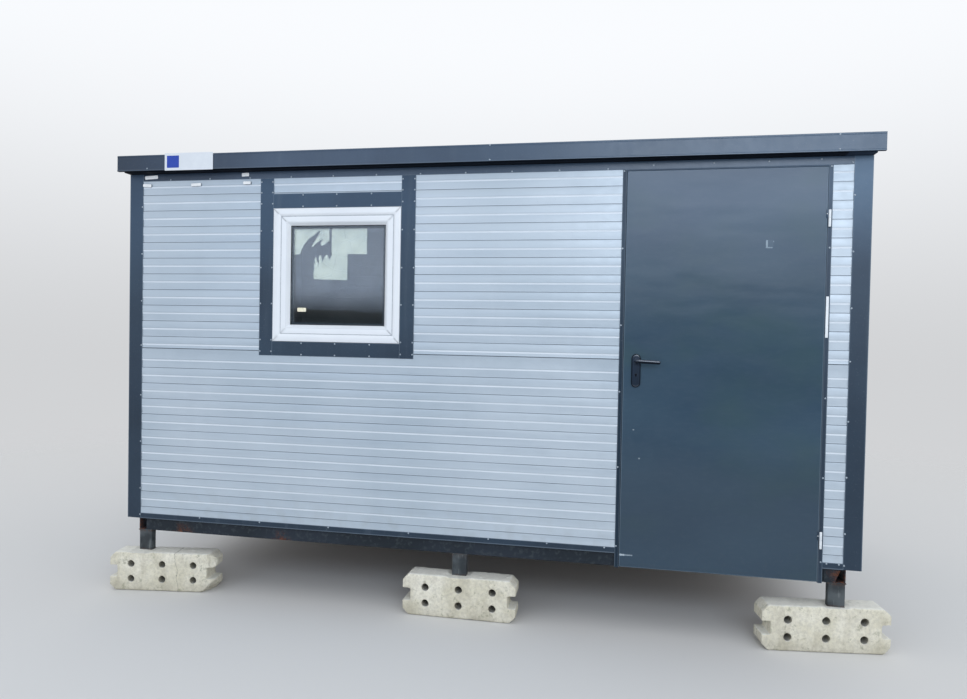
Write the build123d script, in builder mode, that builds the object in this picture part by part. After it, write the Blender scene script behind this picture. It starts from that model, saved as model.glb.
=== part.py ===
"""A portable site cabin on concrete feet, in millimetres.

X runs along the front wall to the right, Y from the front to the rear, Z up from the ground.
The origin is on the ground at the middle of the cabin. The front wall faces -Y.
"""
from build123d import *
import os

os.makedirs("parts", exist_ok=True)

# Concrete feet: fence feet set down on their long edge
foot_length = 680.0
foot_height = 248.0
foot_thickness = 140.0
foot_bevel = 8.0  # worn edge along the top and bottom faces
foot_corner = 38.0  # cut corners at the two ends
foot_notch_depth = 48.0  # hand notch in each end
foot_notch_height = 72.0
foot_hole_radius = 21.0  # post holes, in columns and rows
foot_hole_columns = 3
foot_hole_rows = 2
foot_hole_pitch_x = 202.0
foot_hole_pitch_z = 95.0
foot_seat_depth = 6.0  # shallow dip in the top edge, where the leg stands
foot_seat_play = 12.0  # flat of the dip beside the leg
foot_seat_slope = 12.0  # run of the dip's slopes, at each side

# Each foot sits a little off its leg: along X, along Y and turned, in degrees
left_foot_shift = (149.0, -11.0, 8.0)
middle_foot_shift = (8.0, -4.0, 0.0)
right_foot_shift = (-64.0, 13.0, 7.5)

# Steel legs and base frame of channel section
leg_width = 88.0
leg_depth = 45.0
leg_height = 130.0
leg_wall = 6.0
beam_height = 80.0
beam_flange = 50.0
beam_wall = 6.0
beam_setback_front = 20.0  # from the face of the wall panels
beam_setback_side = 70.0
joist_width = 60.0
joist_count = 5
deck_thickness = 22.0

# Wall panels, laid in two courses
cabin_length = 4400.0
cabin_depth = 2400.0
wall_thickness = 100.0
course_height = 1100.0  # cover height of one panel
panel_tongue = 8.0  # tongue left standing along the top course

# Window in the front wall, with the left edge of its opening from the left corner
window_width = 820.0
window_height = 820.0
window_left = 994.0
window_sill = 60.0  # above the joint between the courses
window_frame_face = 46.0  # visible width of the fixed frame
window_frame_depth = 70.0
window_frame_proud = 4.0  # out from the face of the wall panels
sash_face = 60.0
sash_depth = 62.0
sash_recess = 8.0  # back from the face of the fixed frame
glass_thickness = 24.0
glass_recess = 26.0  # back from the face of the sash

# Door, outside mounted, with its right edge from the right corner
door_width = 1050.0
door_right = 220.0
door_drop = 7.0  # lower edge of the leaf above the lower edge of the base frame
door_head_gap = 54.0  # upper edge of the leaf below the top of the wall
door_plate = 20.0  # outer plate of the leaf, with its folded edges
door_plate_proud = 8.0
door_core = 40.0  # inner part of the leaf, inside the doorway
door_gap = 5.0  # running gap round the leaf
door_core_gap = 6.0  # running gap behind the outer plate
jamb_face = 20.0  # trim seen beside the leaf
jamb_lap = 14.0  # trim lapping over the wall panels
jamb_reveal = 30.0  # stop that the outer plate closes against
head_face = 14.0
sheet = 2.0  # folded sheet of trims and flashings

# Hinges with round barrels standing on the trim
hinge_radius = 7.5
hinge_pin_radius = 4.0
hinge_pin_clearance = 0.05
hinge_length = 92.0
hinge_gap = 1.0  # between the two knuckles
hinge_run = 2.0  # air between the barrel and the trim
hinge_inset = 210.0  # pivot from the right corner
hinge_strap = 3.0
hinge_upper_drop = 229.0  # top of the upper hinge below the upper edge of the leaf
hinge_lower_rise = 180.0  # foot of the lower hinge above the lower edge of the leaf
cover_strip_width = 14.0  # flat white strip on the trim between the hinges
cover_strip_height = 221.0
cover_strip_thickness = 3.0
cover_strip_drop = 691.0  # its top below the upper edge of the leaf

# Lever handles on long plates
handle_inset = 70.0  # lever axis from the left edge of the leaf
handle_height = 1166.0  # lever axis above the lower edge of the leaf
plate_width = 50.0
plate_height = 187.0
plate_thickness = 10.0
plate_above_axis = 39.0
spindle_radius = 8.0
spindle_clearance = 0.3
lever_neck_length = 34.0
lever_length = 131.0  # from the axis to the tip
lever_height = 22.0
lever_thickness = 14.0
lever_run = 0.5  # air between the neck's collar and the plate
keyhole_drop = 78.0
lock_radius = 8.5
lock_clearance = 0.1
lock_proud = 1.5

# Flashings of folded sheet
corner_flashing = 93.0
bottom_flashing = 33.0
top_flashing = 45.0
window_flashing = 88.0

# Roof
roof_thickness = 60.0
roof_overhang_front = 80.0
roof_overhang_side = 36.0
fascia_thickness = 20.0
fascia_height = 98.0
fascia_raise = 5.0  # lower edge of the fascia above the soffit
side_fascia_raise = 30.0  # lower edge of the side boards above the front one's
rear_fascia_height = 52.0  # lower, so that the roof drains over it
rib_height = 35.0
rib_base = 60.0
rib_top = 26.0
ribs_per_panel = 3
sign_length = 329.0
sign_height = 107.0
sign_thickness = 3.0
sign_left = 299.0  # from the left corner of the cabin
sign_drop = 3.0  # lower edge below the fascia

# Levels, from the ground up
seat_level = foot_height - foot_seat_depth
beam_bottom = seat_level + leg_height
beam_top = beam_bottom + beam_height
joint_level = beam_top + course_height
wall_top = joint_level + course_height + panel_tongue
floor_level = beam_top + deck_thickness
window_bottom = joint_level + window_sill
window_top = window_bottom + window_height
leaf_bottom = beam_bottom + door_drop
leaf_top = wall_top - door_head_gap
roof_top = wall_top + roof_thickness
fascia_bottom = wall_top + fascia_raise

# Faces of the cabin, in plan
half_length = cabin_length / 2
front = -cabin_depth / 2
front_inside = front + wall_thickness
rear_inside = -front_inside
side_inside = half_length - wall_thickness
beam_front = front + beam_setback_front
beam_side = half_length - beam_setback_side
window_x0 = -half_length + window_left
window_x1 = window_x0 + window_width
leaf_x1 = half_length - door_right
leaf_x0 = leaf_x1 - door_width
leaf_face = front - door_plate_proud
leaf_middle = leaf_face + door_plate
leaf_back = leaf_middle + door_core
jamb_stop = leaf_middle + door_core_gap
jamb_x0 = leaf_x0 - door_gap
jamb_x1 = leaf_x1 + door_gap
reveal_x0 = jamb_x0 + jamb_reveal
reveal_x1 = jamb_x1 - jamb_reveal
head_z = leaf_top + door_gap
reveal_z = head_z - jamb_reveal
wall_end_left = jamb_x0 - jamb_face + jamb_lap
wall_end_right = jamb_x1 + jamb_face - jamb_lap
over_door_z = head_z + head_face
roof_x = half_length + roof_overhang_side
roof_y = -front + roof_overhang_front
hinge_x = half_length - hinge_inset
trim_face = front - sheet
hinge_y = trim_face - hinge_run - hinge_radius
lever_x = leaf_x0 + handle_inset
lever_z = leaf_bottom + handle_height


def save(piece, label):
    """Labels a finished piece and writes its STEP file."""
    piece.part.label = label
    export_step(piece.part, f"parts/{label}.step")


def slab(label, x, y, z):
    """Writes one plain rectangular piece, from its span along each axis."""
    with BuildPart() as piece:
        with BuildSketch(Plane.XY.offset(z[0])):
            with Locations(((x[0] + x[1]) / 2, (y[0] + y[1]) / 2)):
                Rectangle(x[1] - x[0], y[1] - y[0])
        extrude(amount=z[1] - z[0])
    save(piece, label)


def slabs(label, spans):
    """Writes several plain rectangular solids that don't touch, as one piece."""
    with BuildPart() as piece:
        for x, y, z in spans:
            with BuildSketch(Plane.XY.offset(z[0])):
                with Locations(((x[0] + x[1]) / 2, (y[0] + y[1]) / 2)):
                    Rectangle(x[1] - x[0], y[1] - y[0])
            extrude(amount=z[1] - z[0])
    save(piece, label)


# Concrete feet
def concrete_foot(label, x, y, turn, seat_x):
    """One foot on its edge, with post holes, a hand notch in each end and a dip for the leg at seat_x."""
    upright = Plane(origin=(x, y, foot_height / 2), x_dir=Vector(1, 0, 0).rotate(Axis.Z, turn),
                    z_dir=Vector(0, -1, 0).rotate(Axis.Z, turn))
    with BuildPart() as foot:
        with BuildSketch(upright):
            Rectangle(foot_length, foot_height)
            chamfer(vertices(), foot_corner)
            with GridLocations(foot_length, 0, 2, 1):
                Rectangle(2 * foot_notch_depth, foot_notch_height, mode=Mode.SUBTRACT)
        extrude(amount=foot_thickness / 2, both=True)
        long_edges = foot.edges().filter_by(Axis(origin=(0, 0, 0), direction=upright.x_dir))
        outer = long_edges.group_by(Axis.Z)[0] + long_edges.group_by(Axis.Z)[-1]
        chamfer(outer, foot_bevel)
        with BuildSketch(upright):
            with GridLocations(foot_hole_pitch_x, foot_hole_pitch_z, foot_hole_columns, foot_hole_rows):
                Circle(foot_hole_radius)
            flat = leg_width / 2 + foot_seat_play
            brink = flat + 2 * foot_seat_slope
            dip = foot_height / 2 - foot_seat_depth
            above = foot_height / 2 + foot_seat_depth
            with BuildLine():
                Polyline((seat_x - brink, above), (seat_x - flat, dip), (seat_x + flat, dip), (seat_x + brink, above),
                         close=True)
            make_face()
        extrude(amount=foot_thickness, both=True, mode=Mode.SUBTRACT)
    save(foot, label)


leg_line_x = beam_side - leg_width / 2
leg_line_y = beam_front + leg_depth / 2
leg_spots = {"left": -leg_line_x, "middle": 0.0, "right": leg_line_x}
foot_shifts = {"left": left_foot_shift, "middle": middle_foot_shift, "right": right_foot_shift}
opposite = {"left": "right", "middle": "middle", "right": "left"}
for side, leg_x in leg_spots.items():
    dx, dy, turn = foot_shifts[side]
    along = Vector(dx, dy, 0).dot(Vector(1, 0, 0).rotate(Axis.Z, turn))
    concrete_foot(f"concrete_foot_front_{side}", leg_x + dx, leg_line_y + dy, turn, -along)
    concrete_foot(f"concrete_foot_rear_{opposite[side]}", -(leg_x + dx), -(leg_line_y + dy), turn, along)

# Legs: short lengths of square tube between the feet and the base frame
with BuildPart() as base_legs:
    for leg_y in (leg_line_y, -leg_line_y):
        for leg_x in leg_spots.values():
            with BuildSketch(Plane.XY.offset(seat_level)):
                with Locations((leg_x, leg_y)):
                    Rectangle(leg_width, leg_depth)
                    Rectangle(leg_width - 2 * leg_wall, leg_depth - 2 * leg_wall, mode=Mode.SUBTRACT)
            extrude(amount=leg_height)
save(base_legs, "base_legs")


# Base frame: side beams with open ends, and front and rear beams between them
def channel(label, plane, length):
    """A channel beam on its web, open towards the middle of the cabin, from the plane of one end."""
    with BuildPart() as beam:
        with BuildSketch(plane):
            with Locations((beam_flange / 2, beam_height / 2)):
                Rectangle(beam_flange, beam_height)
            with Locations((beam_flange / 2 + beam_wall, beam_height / 2)):
                Rectangle(beam_flange, beam_height - 2 * beam_wall, mode=Mode.SUBTRACT)
        extrude(amount=length)
    save(beam, label)


side_length = 2 * -beam_front
cross_length = 2 * (beam_side - beam_flange)
channel("base_beam_left", Plane(origin=(-beam_side, -beam_front, beam_bottom), x_dir=(1, 0, 0), z_dir=(0, -1, 0)),
        side_length)
channel("base_beam_front", Plane(origin=(-cross_length / 2, beam_front, beam_bottom), x_dir=(0, 1, 0),
                                 z_dir=(1, 0, 0)), cross_length)
with BuildPart() as base_beam_right:
    with BuildSketch(Plane(origin=(beam_side, beam_front, beam_bottom), x_dir=(-1, 0, 0), z_dir=(0, 1, 0))):
        with Locations((beam_flange / 2, beam_height / 2)):
            Rectangle(beam_flange, beam_height)
        with Locations((beam_flange / 2 + beam_wall, beam_height / 2)):
            Rectangle(beam_flange, beam_height - 2 * beam_wall, mode=Mode.SUBTRACT)
    extrude(amount=side_length)
save(base_beam_right, "base_beam_right")
channel("base_beam_rear", Plane(origin=(cross_length / 2, -beam_front, beam_bottom), x_dir=(0, -1, 0),
                                z_dir=(-1, 0, 0)), cross_length)

# Floor: joists between the front and rear beams, and the deck on top of them
joist_y = -beam_front - beam_flange
joist_pitch = cross_length / (joist_count + 1)
joist_lines = [-cross_length / 2 + joist_pitch * (i + 1) for i in range(joist_count)]
slabs("floor_joists", [((x - joist_width / 2, x + joist_width / 2), (-joist_y, joist_y), (beam_bottom, beam_top))
                       for x in joist_lines])
slab("floor_deck", (-side_inside, side_inside), (front_inside, rear_inside), (beam_top, floor_level))

# Front wall, split beside and over the doorway and round the window
front_wall = (front, front_inside)
lower = (beam_top, joint_level)
upper = (joint_level, wall_top)
slab("front_wall_lower", (-half_length, wall_end_left), front_wall, lower)
slab("front_wall_upper_left", (-half_length, window_x0), front_wall, upper)
slab("front_wall_upper_right", (window_x1, wall_end_left), front_wall, upper)
slab("front_wall_under_window", (window_x0, window_x1), front_wall, (joint_level, window_bottom))
slab("front_wall_over_window", (window_x0, window_x1), front_wall, (window_top, wall_top))
slab("front_wall_over_door", (wall_end_left, wall_end_right), front_wall, (over_door_z, wall_top))
slab("front_wall_beside_door", (wall_end_right, half_length), front_wall, (beam_top, wall_top))

# Side and rear walls
rear_wall = (rear_inside, -front)
between = (front_inside, rear_inside)
for course, span in {"lower": lower, "upper": upper}.items():
    slab(f"left_wall_{course}", (-half_length, -side_inside), between, span)
    slab(f"right_wall_{course}", (side_inside, half_length), between, span)
    slab(f"rear_wall_{course}", (-half_length, half_length), rear_wall, span)

# Corner flashings: an angle of sheet over each corner
with BuildPart() as corner_flashings:
    for side in (-1, 1):
        for end in (-1, 1):
            with BuildSketch(Plane.XY.offset(beam_top)):
                corner_x = side * (half_length + sheet)
                corner_y = end * (-front + sheet)
                with Locations((corner_x - side * (corner_flashing + sheet) / 2, corner_y - end * sheet / 2)):
                    Rectangle(corner_flashing + sheet, sheet)
                with Locations((corner_x - side * sheet / 2, corner_y - end * (corner_flashing + sheet) / 2)):
                    Rectangle(sheet, corner_flashing + sheet)
            extrude(amount=wall_top - beam_top)
save(corner_flashings, "corner_flashings")

# Bottom flashing, under the visible part of the panels, and the one along the top
flashing_x = half_length - corner_flashing
flashing_y = -front - corner_flashing
low_band = (beam_top, beam_top + bottom_flashing)
high_band = (wall_top - top_flashing, wall_top)
front_skin = (trim_face, front)
rear_skin = (-front, -trim_face)
left_skin = (-half_length - sheet, -half_length)
right_skin = (half_length, half_length + sheet)
trim_x0 = jamb_x0 - jamb_face
trim_x1 = jamb_x1 + jamb_face
slabs("bottom_flashings", [((-flashing_x, trim_x0), front_skin, low_band),
                           ((trim_x1, flashing_x), front_skin, low_band),
                           ((-flashing_x, flashing_x), rear_skin, low_band),
                           (left_skin, (-flashing_y, flashing_y), low_band),
                           (right_skin, (-flashing_y, flashing_y), low_band)])
slabs("top_flashings", [((-flashing_x, flashing_x), front_skin, high_band),
                        ((-flashing_x, flashing_x), rear_skin, high_band),
                        (left_skin, (-flashing_y, flashing_y), high_band),
                        (right_skin, (-flashing_y, flashing_y), high_band)])

# Flashing round the window: two uprights up to the top flashing, a sill strip and a head strip
with BuildPart() as window_surround:
    with BuildSketch(Plane.XZ.offset(-front)):
        with Locations(((window_x0 + window_x1) / 2, (window_bottom - window_flashing + high_band[0]) / 2)):
            Rectangle(window_width + 2 * window_flashing, high_band[0] - window_bottom + window_flashing)
        with Locations(((window_x0 + window_x1) / 2, (window_bottom + window_top) / 2)):
            Rectangle(window_width, window_height, mode=Mode.SUBTRACT)
        over_window = (window_top + window_flashing, high_band[0])
        with Locations(((window_x0 + window_x1) / 2, (over_window[0] + over_window[1]) / 2)):
            Rectangle(window_width, over_window[1] - over_window[0], mode=Mode.SUBTRACT)
    extrude(amount=sheet)
save(window_surround, "window_surround")


# Window: fixed frame, sash and pane
def ring(label, outer, face, y, depth):
    """A square frame standing in the window opening: its outer size is smaller by 'outer' on each side."""
    with BuildPart() as frame:
        with BuildSketch(Plane.XZ.offset(-y)):
            with Locations(((window_x0 + window_x1) / 2, (window_bottom + window_top) / 2)):
                Rectangle(window_width - 2 * outer, window_height - 2 * outer)
                Rectangle(window_width - 2 * (outer + face), window_height - 2 * (outer + face),
                          mode=Mode.SUBTRACT)
        extrude(amount=-depth)
    save(frame, label)


window_face = front - window_frame_proud
sash_front = window_face + sash_recess
glass_front = sash_front + glass_recess
glass_edge = window_frame_face + sash_face
ring("window_frame", 0, window_frame_face, window_face, window_frame_depth)
ring("window_sash", window_frame_face, sash_face, sash_front, sash_depth)
slab("window_glass", (window_x0 + glass_edge, window_x1 - glass_edge),
     (glass_front, glass_front + glass_thickness), (window_bottom + glass_edge, window_top - glass_edge))

# Door frame: two jambs down to the foot of the base frame, a head and a threshold
with BuildPart() as door_frame:
    for trim, inner, wall, reveal in ((trim_x0, jamb_x0, wall_end_left, reveal_x0),
                                      (trim_x1, jamb_x1, wall_end_right, reveal_x1)):
        with BuildSketch(Plane.XY.offset(beam_top)):
            with BuildLine():
                Polyline((trim, trim_face), (inner, trim_face), (inner, jamb_stop), (reveal, jamb_stop),
                         (reveal, front_inside), (wall, front_inside), (wall, front), (trim, front), close=True)
            make_face()
        extrude(amount=high_band[0] - beam_top)
        with BuildSketch(Plane.XY.offset(beam_bottom)):
            with Locations(((trim + inner) / 2, (trim_face + beam_front) / 2)):
                Rectangle(abs(inner - trim), beam_front - trim_face)
        extrude(amount=beam_height)
    with BuildSketch(Plane.YZ.offset(wall_end_left)):
        with BuildLine():
            Polyline((front, head_z), (jamb_stop, head_z), (jamb_stop, reveal_z), (front_inside, reveal_z),
                     (front_inside, over_door_z), (front, over_door_z), close=True)
        make_face()
    extrude(amount=wall_end_right - wall_end_left)
save(door_frame, "door_frame")
slab("door_threshold", (reveal_x0, reveal_x1), (beam_front, front_inside), (beam_top, floor_level))

# Door leaf: an outer plate that laps over the frame, and the core inside the doorway
core_x0 = reveal_x0 + door_gap
core_x1 = reveal_x1 - door_gap
core_z0 = floor_level + door_gap
core_z1 = reveal_z - door_gap
lock_z = lever_z - keyhole_drop
with BuildPart() as door_leaf:
    with BuildSketch(Plane.XZ.offset(-leaf_face)):
        with Locations(((leaf_x0 + leaf_x1) / 2, (leaf_bottom + leaf_top) / 2)):
            Rectangle(door_width, leaf_top - leaf_bottom)
    extrude(amount=-door_plate)
    with BuildSketch(Plane.XZ.offset(-leaf_middle)):
        with Locations(((core_x0 + core_x1) / 2, (core_z0 + core_z1) / 2)):
            Rectangle(core_x1 - core_x0, core_z1 - core_z0)
    extrude(amount=-door_core)
    with BuildSketch(Plane.XZ.offset(-leaf_face)):
        with Locations((lever_x, lever_z)):
            Circle(spindle_radius + spindle_clearance)
        with Locations((lever_x, lock_z)):
            Circle(lock_radius + lock_clearance)
    extrude(amount=-(door_plate + door_core), mode=Mode.SUBTRACT)
save(door_leaf, "door_leaf")


# Handle plates with rounded ends, outside and inside
def handle_plate(label, y):
    """A long plate with its near face at y, bored for the lever and the lock."""
    with BuildPart() as plate:
        with BuildSketch(Plane.XZ.offset(-y)):
            with Locations((lever_x, lever_z + plate_above_axis - plate_height / 2)):
                SlotOverall(plate_height, plate_width, rotation=90)
            with Locations((lever_x, lever_z)):
                Circle(spindle_radius + spindle_clearance, mode=Mode.SUBTRACT)
            with Locations((lever_x, lock_z)):
                Circle(lock_radius + lock_clearance, mode=Mode.SUBTRACT)
        extrude(amount=-plate_thickness)
    save(plate, label)


handle_plate("handle_plate_outside", leaf_face - plate_thickness)
handle_plate("handle_plate_inside", leaf_back)

# Lock cylinder through the leaf and both plates
with BuildPart() as lock_cylinder:
    with BuildSketch(Plane.XZ.offset(-(leaf_face - plate_thickness - lock_proud))):
        with Locations((lever_x, lock_z)):
            Circle(lock_radius)
    extrude(amount=-(leaf_back - leaf_face + 2 * (plate_thickness + lock_proud)))
save(lock_cylinder, "lock_cylinder")

# Lever set: one spindle through the leaf with a lever on each end
outer_plate_face = leaf_face - plate_thickness
inner_plate_face = leaf_back + plate_thickness
lever_front = outer_plate_face - lever_neck_length - lever_thickness
lever_back = inner_plate_face + lever_neck_length + lever_thickness
with BuildPart() as lever_set:
    with BuildSketch(Plane.XZ.offset(-lever_front)):
        with Locations((lever_x, lever_z)):
            Circle(spindle_radius)
    extrude(amount=-(lever_back - lever_front))
    for near, far in ((lever_front + lever_thickness, outer_plate_face - lever_run),
                      (inner_plate_face + lever_run, lever_back - lever_thickness)):
        with BuildSketch(Plane.XZ.offset(-near)):
            with Locations((lever_x, lever_z)):
                Circle(lever_height / 2)
        extrude(amount=-(far - near))
    for face in (lever_front, lever_back - lever_thickness):
        with BuildSketch(Plane.XZ.offset(-face)):
            with Locations((lever_x + lever_length / 2 - lever_height / 4, lever_z)):
                SlotOverall(lever_length + lever_height / 2, lever_height)
        extrude(amount=-lever_thickness)
save(lever_set, "lever_set")

# Hinges: the lower knuckle and its pin on the trim, the upper knuckle on the leaf
knuckle = (hinge_length - hinge_gap) / 2
hinge_feet = (leaf_bottom + hinge_lower_rise, leaf_top - hinge_upper_drop - hinge_length)
with BuildPart() as hinge_pins:
    for z in hinge_feet:
        with BuildSketch(Plane.XY.offset(z)):
            with Locations((hinge_x, hinge_y)):
                Circle(hinge_radius)
            with Locations((hinge_x + hinge_radius / 2, (hinge_y + trim_face) / 2)):
                Rectangle(hinge_radius, trim_face - hinge_y)
        extrude(amount=knuckle)
        with BuildSketch(Plane.XY.offset(z + knuckle)):
            with Locations((hinge_x, hinge_y)):
                Circle(hinge_pin_radius)
        extrude(amount=hinge_length - knuckle)
save(hinge_pins, "hinge_pins")
with BuildPart() as hinge_knuckles:
    for z in hinge_feet:
        with BuildSketch(Plane.XY.offset(z + knuckle + hinge_gap)):
            with Locations((hinge_x, hinge_y)):
                Circle(hinge_radius)
            strap_x0 = leaf_x1 - 2 * hinge_radius
            with Locations(((strap_x0 + hinge_x) / 2, leaf_face - hinge_strap / 2)):
                Rectangle(hinge_x - strap_x0, hinge_strap)
            with Locations((hinge_x, hinge_y)):
                Circle(hinge_pin_radius + hinge_pin_clearance, mode=Mode.SUBTRACT)
        extrude(amount=knuckle)
save(hinge_knuckles, "hinge_knuckles")
slab("hinge_cover_strip", (jamb_x1, jamb_x1 + cover_strip_width),
     (trim_face - cover_strip_thickness, trim_face),
     (leaf_top - cover_strip_drop - cover_strip_height, leaf_top - cover_strip_drop))

# Roof panel with trapezoid ribs that run from front to rear; its ends are flush with the side walls
panel_x = half_length
panel_y = roof_y - fascia_thickness
rib_pitch = course_height / ribs_per_panel
rib_count = int((2 * panel_x - rib_base) // rib_pitch) + 1
rib_lines = [(i - (rib_count - 1) / 2) * rib_pitch for i in range(rib_count)]
with BuildPart() as roof_panel:
    with BuildSketch(Plane.XZ.offset(-panel_y)):
        with Locations((0, (wall_top + roof_top) / 2)):
            Rectangle(2 * panel_x, roof_thickness)
        for x in rib_lines:
            with BuildLine():
                Polyline((x - rib_base / 2, roof_top), (x + rib_base / 2, roof_top),
                         (x + rib_top / 2, roof_top + rib_height), (x - rib_top / 2, roof_top + rib_height),
                         close=True)
            make_face()
    extrude(amount=2 * panel_y)
save(roof_panel, "roof_panel")

# Fascia boards round the roof: the side ones start higher than the front one, and the rear one is lower
fascia_top = fascia_bottom + fascia_height
side_levels = (fascia_bottom + side_fascia_raise, fascia_top)
slab("fascia_front", (-roof_x, roof_x), (-roof_y, -panel_y), (fascia_bottom, fascia_top))
slab("fascia_left", (-roof_x, -panel_x), (-panel_y, roof_y), side_levels)
slab("fascia_right", (panel_x, roof_x), (-panel_y, roof_y), side_levels)
slab("fascia_rear", (-panel_x, panel_x), (panel_y, roof_y), (fascia_bottom, fascia_bottom + rear_fascia_height))

# Bare sign plate on the front fascia
slab("sign_plate", (-half_length + sign_left, -half_length + sign_left + sign_length),
     (-roof_y - sign_thickness, -roof_y), (fascia_bottom - sign_drop, fascia_bottom - sign_drop + sign_height))
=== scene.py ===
"""The looks of a portable site cabin, in metres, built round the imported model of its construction.

X runs along the front wall to the right, Y from the front to the rear, Z up from the ground.
Each piece stands for nodes of the frame, and takes its place and size from them.
"""
import math
import random

import bmesh
import bpy
from mathutils.bvhtree import BVHTree
from mathutils import Matrix, Vector, noise


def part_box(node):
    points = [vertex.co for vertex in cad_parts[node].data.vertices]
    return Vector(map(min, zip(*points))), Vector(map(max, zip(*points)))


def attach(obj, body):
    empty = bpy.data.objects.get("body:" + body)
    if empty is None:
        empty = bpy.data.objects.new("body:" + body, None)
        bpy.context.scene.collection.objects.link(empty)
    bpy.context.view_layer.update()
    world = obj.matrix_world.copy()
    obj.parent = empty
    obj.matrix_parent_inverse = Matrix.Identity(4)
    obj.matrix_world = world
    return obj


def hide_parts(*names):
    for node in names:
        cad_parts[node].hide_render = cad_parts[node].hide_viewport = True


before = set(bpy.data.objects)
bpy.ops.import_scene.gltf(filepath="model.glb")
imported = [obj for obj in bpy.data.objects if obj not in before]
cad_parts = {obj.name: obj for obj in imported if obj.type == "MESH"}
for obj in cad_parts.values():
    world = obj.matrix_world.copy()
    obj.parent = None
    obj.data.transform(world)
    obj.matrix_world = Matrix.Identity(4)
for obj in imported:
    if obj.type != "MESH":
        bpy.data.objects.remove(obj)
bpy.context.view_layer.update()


def low(node):
    """The lowest corner of a node at rest."""
    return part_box(node)[0]


def high(node):
    """The highest corner of a node at rest."""
    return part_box(node)[1]


# Faces, levels and corners taken from the frame
X, Y, Z = Vector((1, 0, 0)), Vector((0, 1, 0)), Vector((0, 0, 1))
FRONT = low("front_wall_lower").y
HALF = high("rear_wall_lower").x
WALL = high("front_wall_lower").y - FRONT  # thickness of the panels
INSIDE = FRONT + WALL  # inner face of the front wall
BEAM_TOP = low("front_wall_lower").z
BEAM_BOTTOM = low("base_beam_front").z
BEAM_HEIGHT = BEAM_TOP - BEAM_BOTTOM
BEAM_FACE = low("base_beam_front").y
JOINT = high("front_wall_lower").z  # between the two courses of panels
WALL_TOP = high("front_wall_upper_left").z
COURSE = JOINT - BEAM_TOP
ROOF_TOP = WALL_TOP + 0.06  # flat of the roof sheet between its ribs
FLOOR = high("floor_deck").z
TRIM_LEFT, TRIM_RIGHT = low("door_frame").x, high("door_frame").x
LOW_TOP = high("bottom_flashings").z
HIGH_FOOT = low("top_flashings").z
WIN_LOW, WIN_HIGH = low("window_frame"), high("window_frame")
LEAF_LOW, LEAF_HIGH = low("door_leaf"), high("door_leaf")
LEVER_LOW, LEVER_HIGH = low("lever_set"), high("lever_set")


# Materials
def rgb(hexa):
    """A linear colour from its hexadecimal screen value."""
    channels = [int(hexa[i:i + 2], 16) / 255 for i in (0, 2, 4)]
    return tuple(c / 12.92 if c <= 0.04045 else ((c + 0.055) / 1.055) ** 2.4 for c in channels) + (1.0,)


class Nodes:
    """Short ways to add texture nodes to a tree."""

    def __init__(self, tree, place):
        self.tree = tree
        self.place = self.node("ShaderNodeTexCoord", {}, place)

    def node(self, kind, inputs, output=0, **settings):
        """Adds a node, links or sets its inputs, and returns one of its outputs."""
        made = self.tree.nodes.new(kind)
        for key, value in settings.items():
            setattr(made, key, value)
        for key, value in inputs.items():
            if isinstance(value, bpy.types.NodeSocket):
                self.tree.links.new(value, made.inputs[key])
            else:
                made.inputs[key].default_value = value
        return made.outputs[output]

    def cloud(self, scale, detail=3.0, stretch=(1, 1, 1), roughness=0.5, shift=0.0):
        """Soft noise, from 0 to 1, with scale cycles to the metre."""
        where = self.node("ShaderNodeMapping", {0: self.place, "Scale": stretch, "Location": (shift,) * 3})
        inputs = {"Vector": where, "Scale": scale, "Detail": detail, "Roughness": roughness}
        return self.node("ShaderNodeTexNoise", inputs)

    def cells(self, scale, feature="F1"):
        """Distance to the nearest of many scattered points, or to the edge between two of them."""
        where = self.node("ShaderNodeMapping", {0: self.place})
        return self.node("ShaderNodeTexVoronoi", {"Vector": where, "Scale": scale}, feature=feature)

    def ramp(self, value, low_end, high_end, bottom=0.0, top=1.0):
        """Maps a value between two ends to a smooth step from bottom to top."""
        inputs = {0: value, 1: low_end, 2: high_end, 3: bottom, 4: top}
        return self.node("ShaderNodeMapRange", inputs, interpolation_type="SMOOTHSTEP")

    def calc(self, operation, a, b=0.0):
        """One sum on two numbers."""
        return self.node("ShaderNodeMath", {0: a, 1: b}, operation=operation)

    def product(self, first, *others):
        """The product of masks and plain shares."""
        for other in others:
            first = self.calc("MULTIPLY", first, other)
        return first

    def axis(self, name):
        """One coordinate of the surface, at rest."""
        return self.node("ShaderNodeSeparateXYZ", {0: self.place}, name)

    def mix(self, factor, a, b):
        """Blends two colours, each a screen value or an earlier result."""
        a, b = (rgb(tone) if isinstance(tone, str) else tone for tone in (a, b))
        return self.node("ShaderNodeMix", {0: factor, 6: a, 7: b}, 2, data_type="RGBA")

    def named(self, attribute):
        """A number that the mesh carries at its points."""
        return self.node("ShaderNodeAttribute", {}, 2, attribute_name=attribute)


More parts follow.
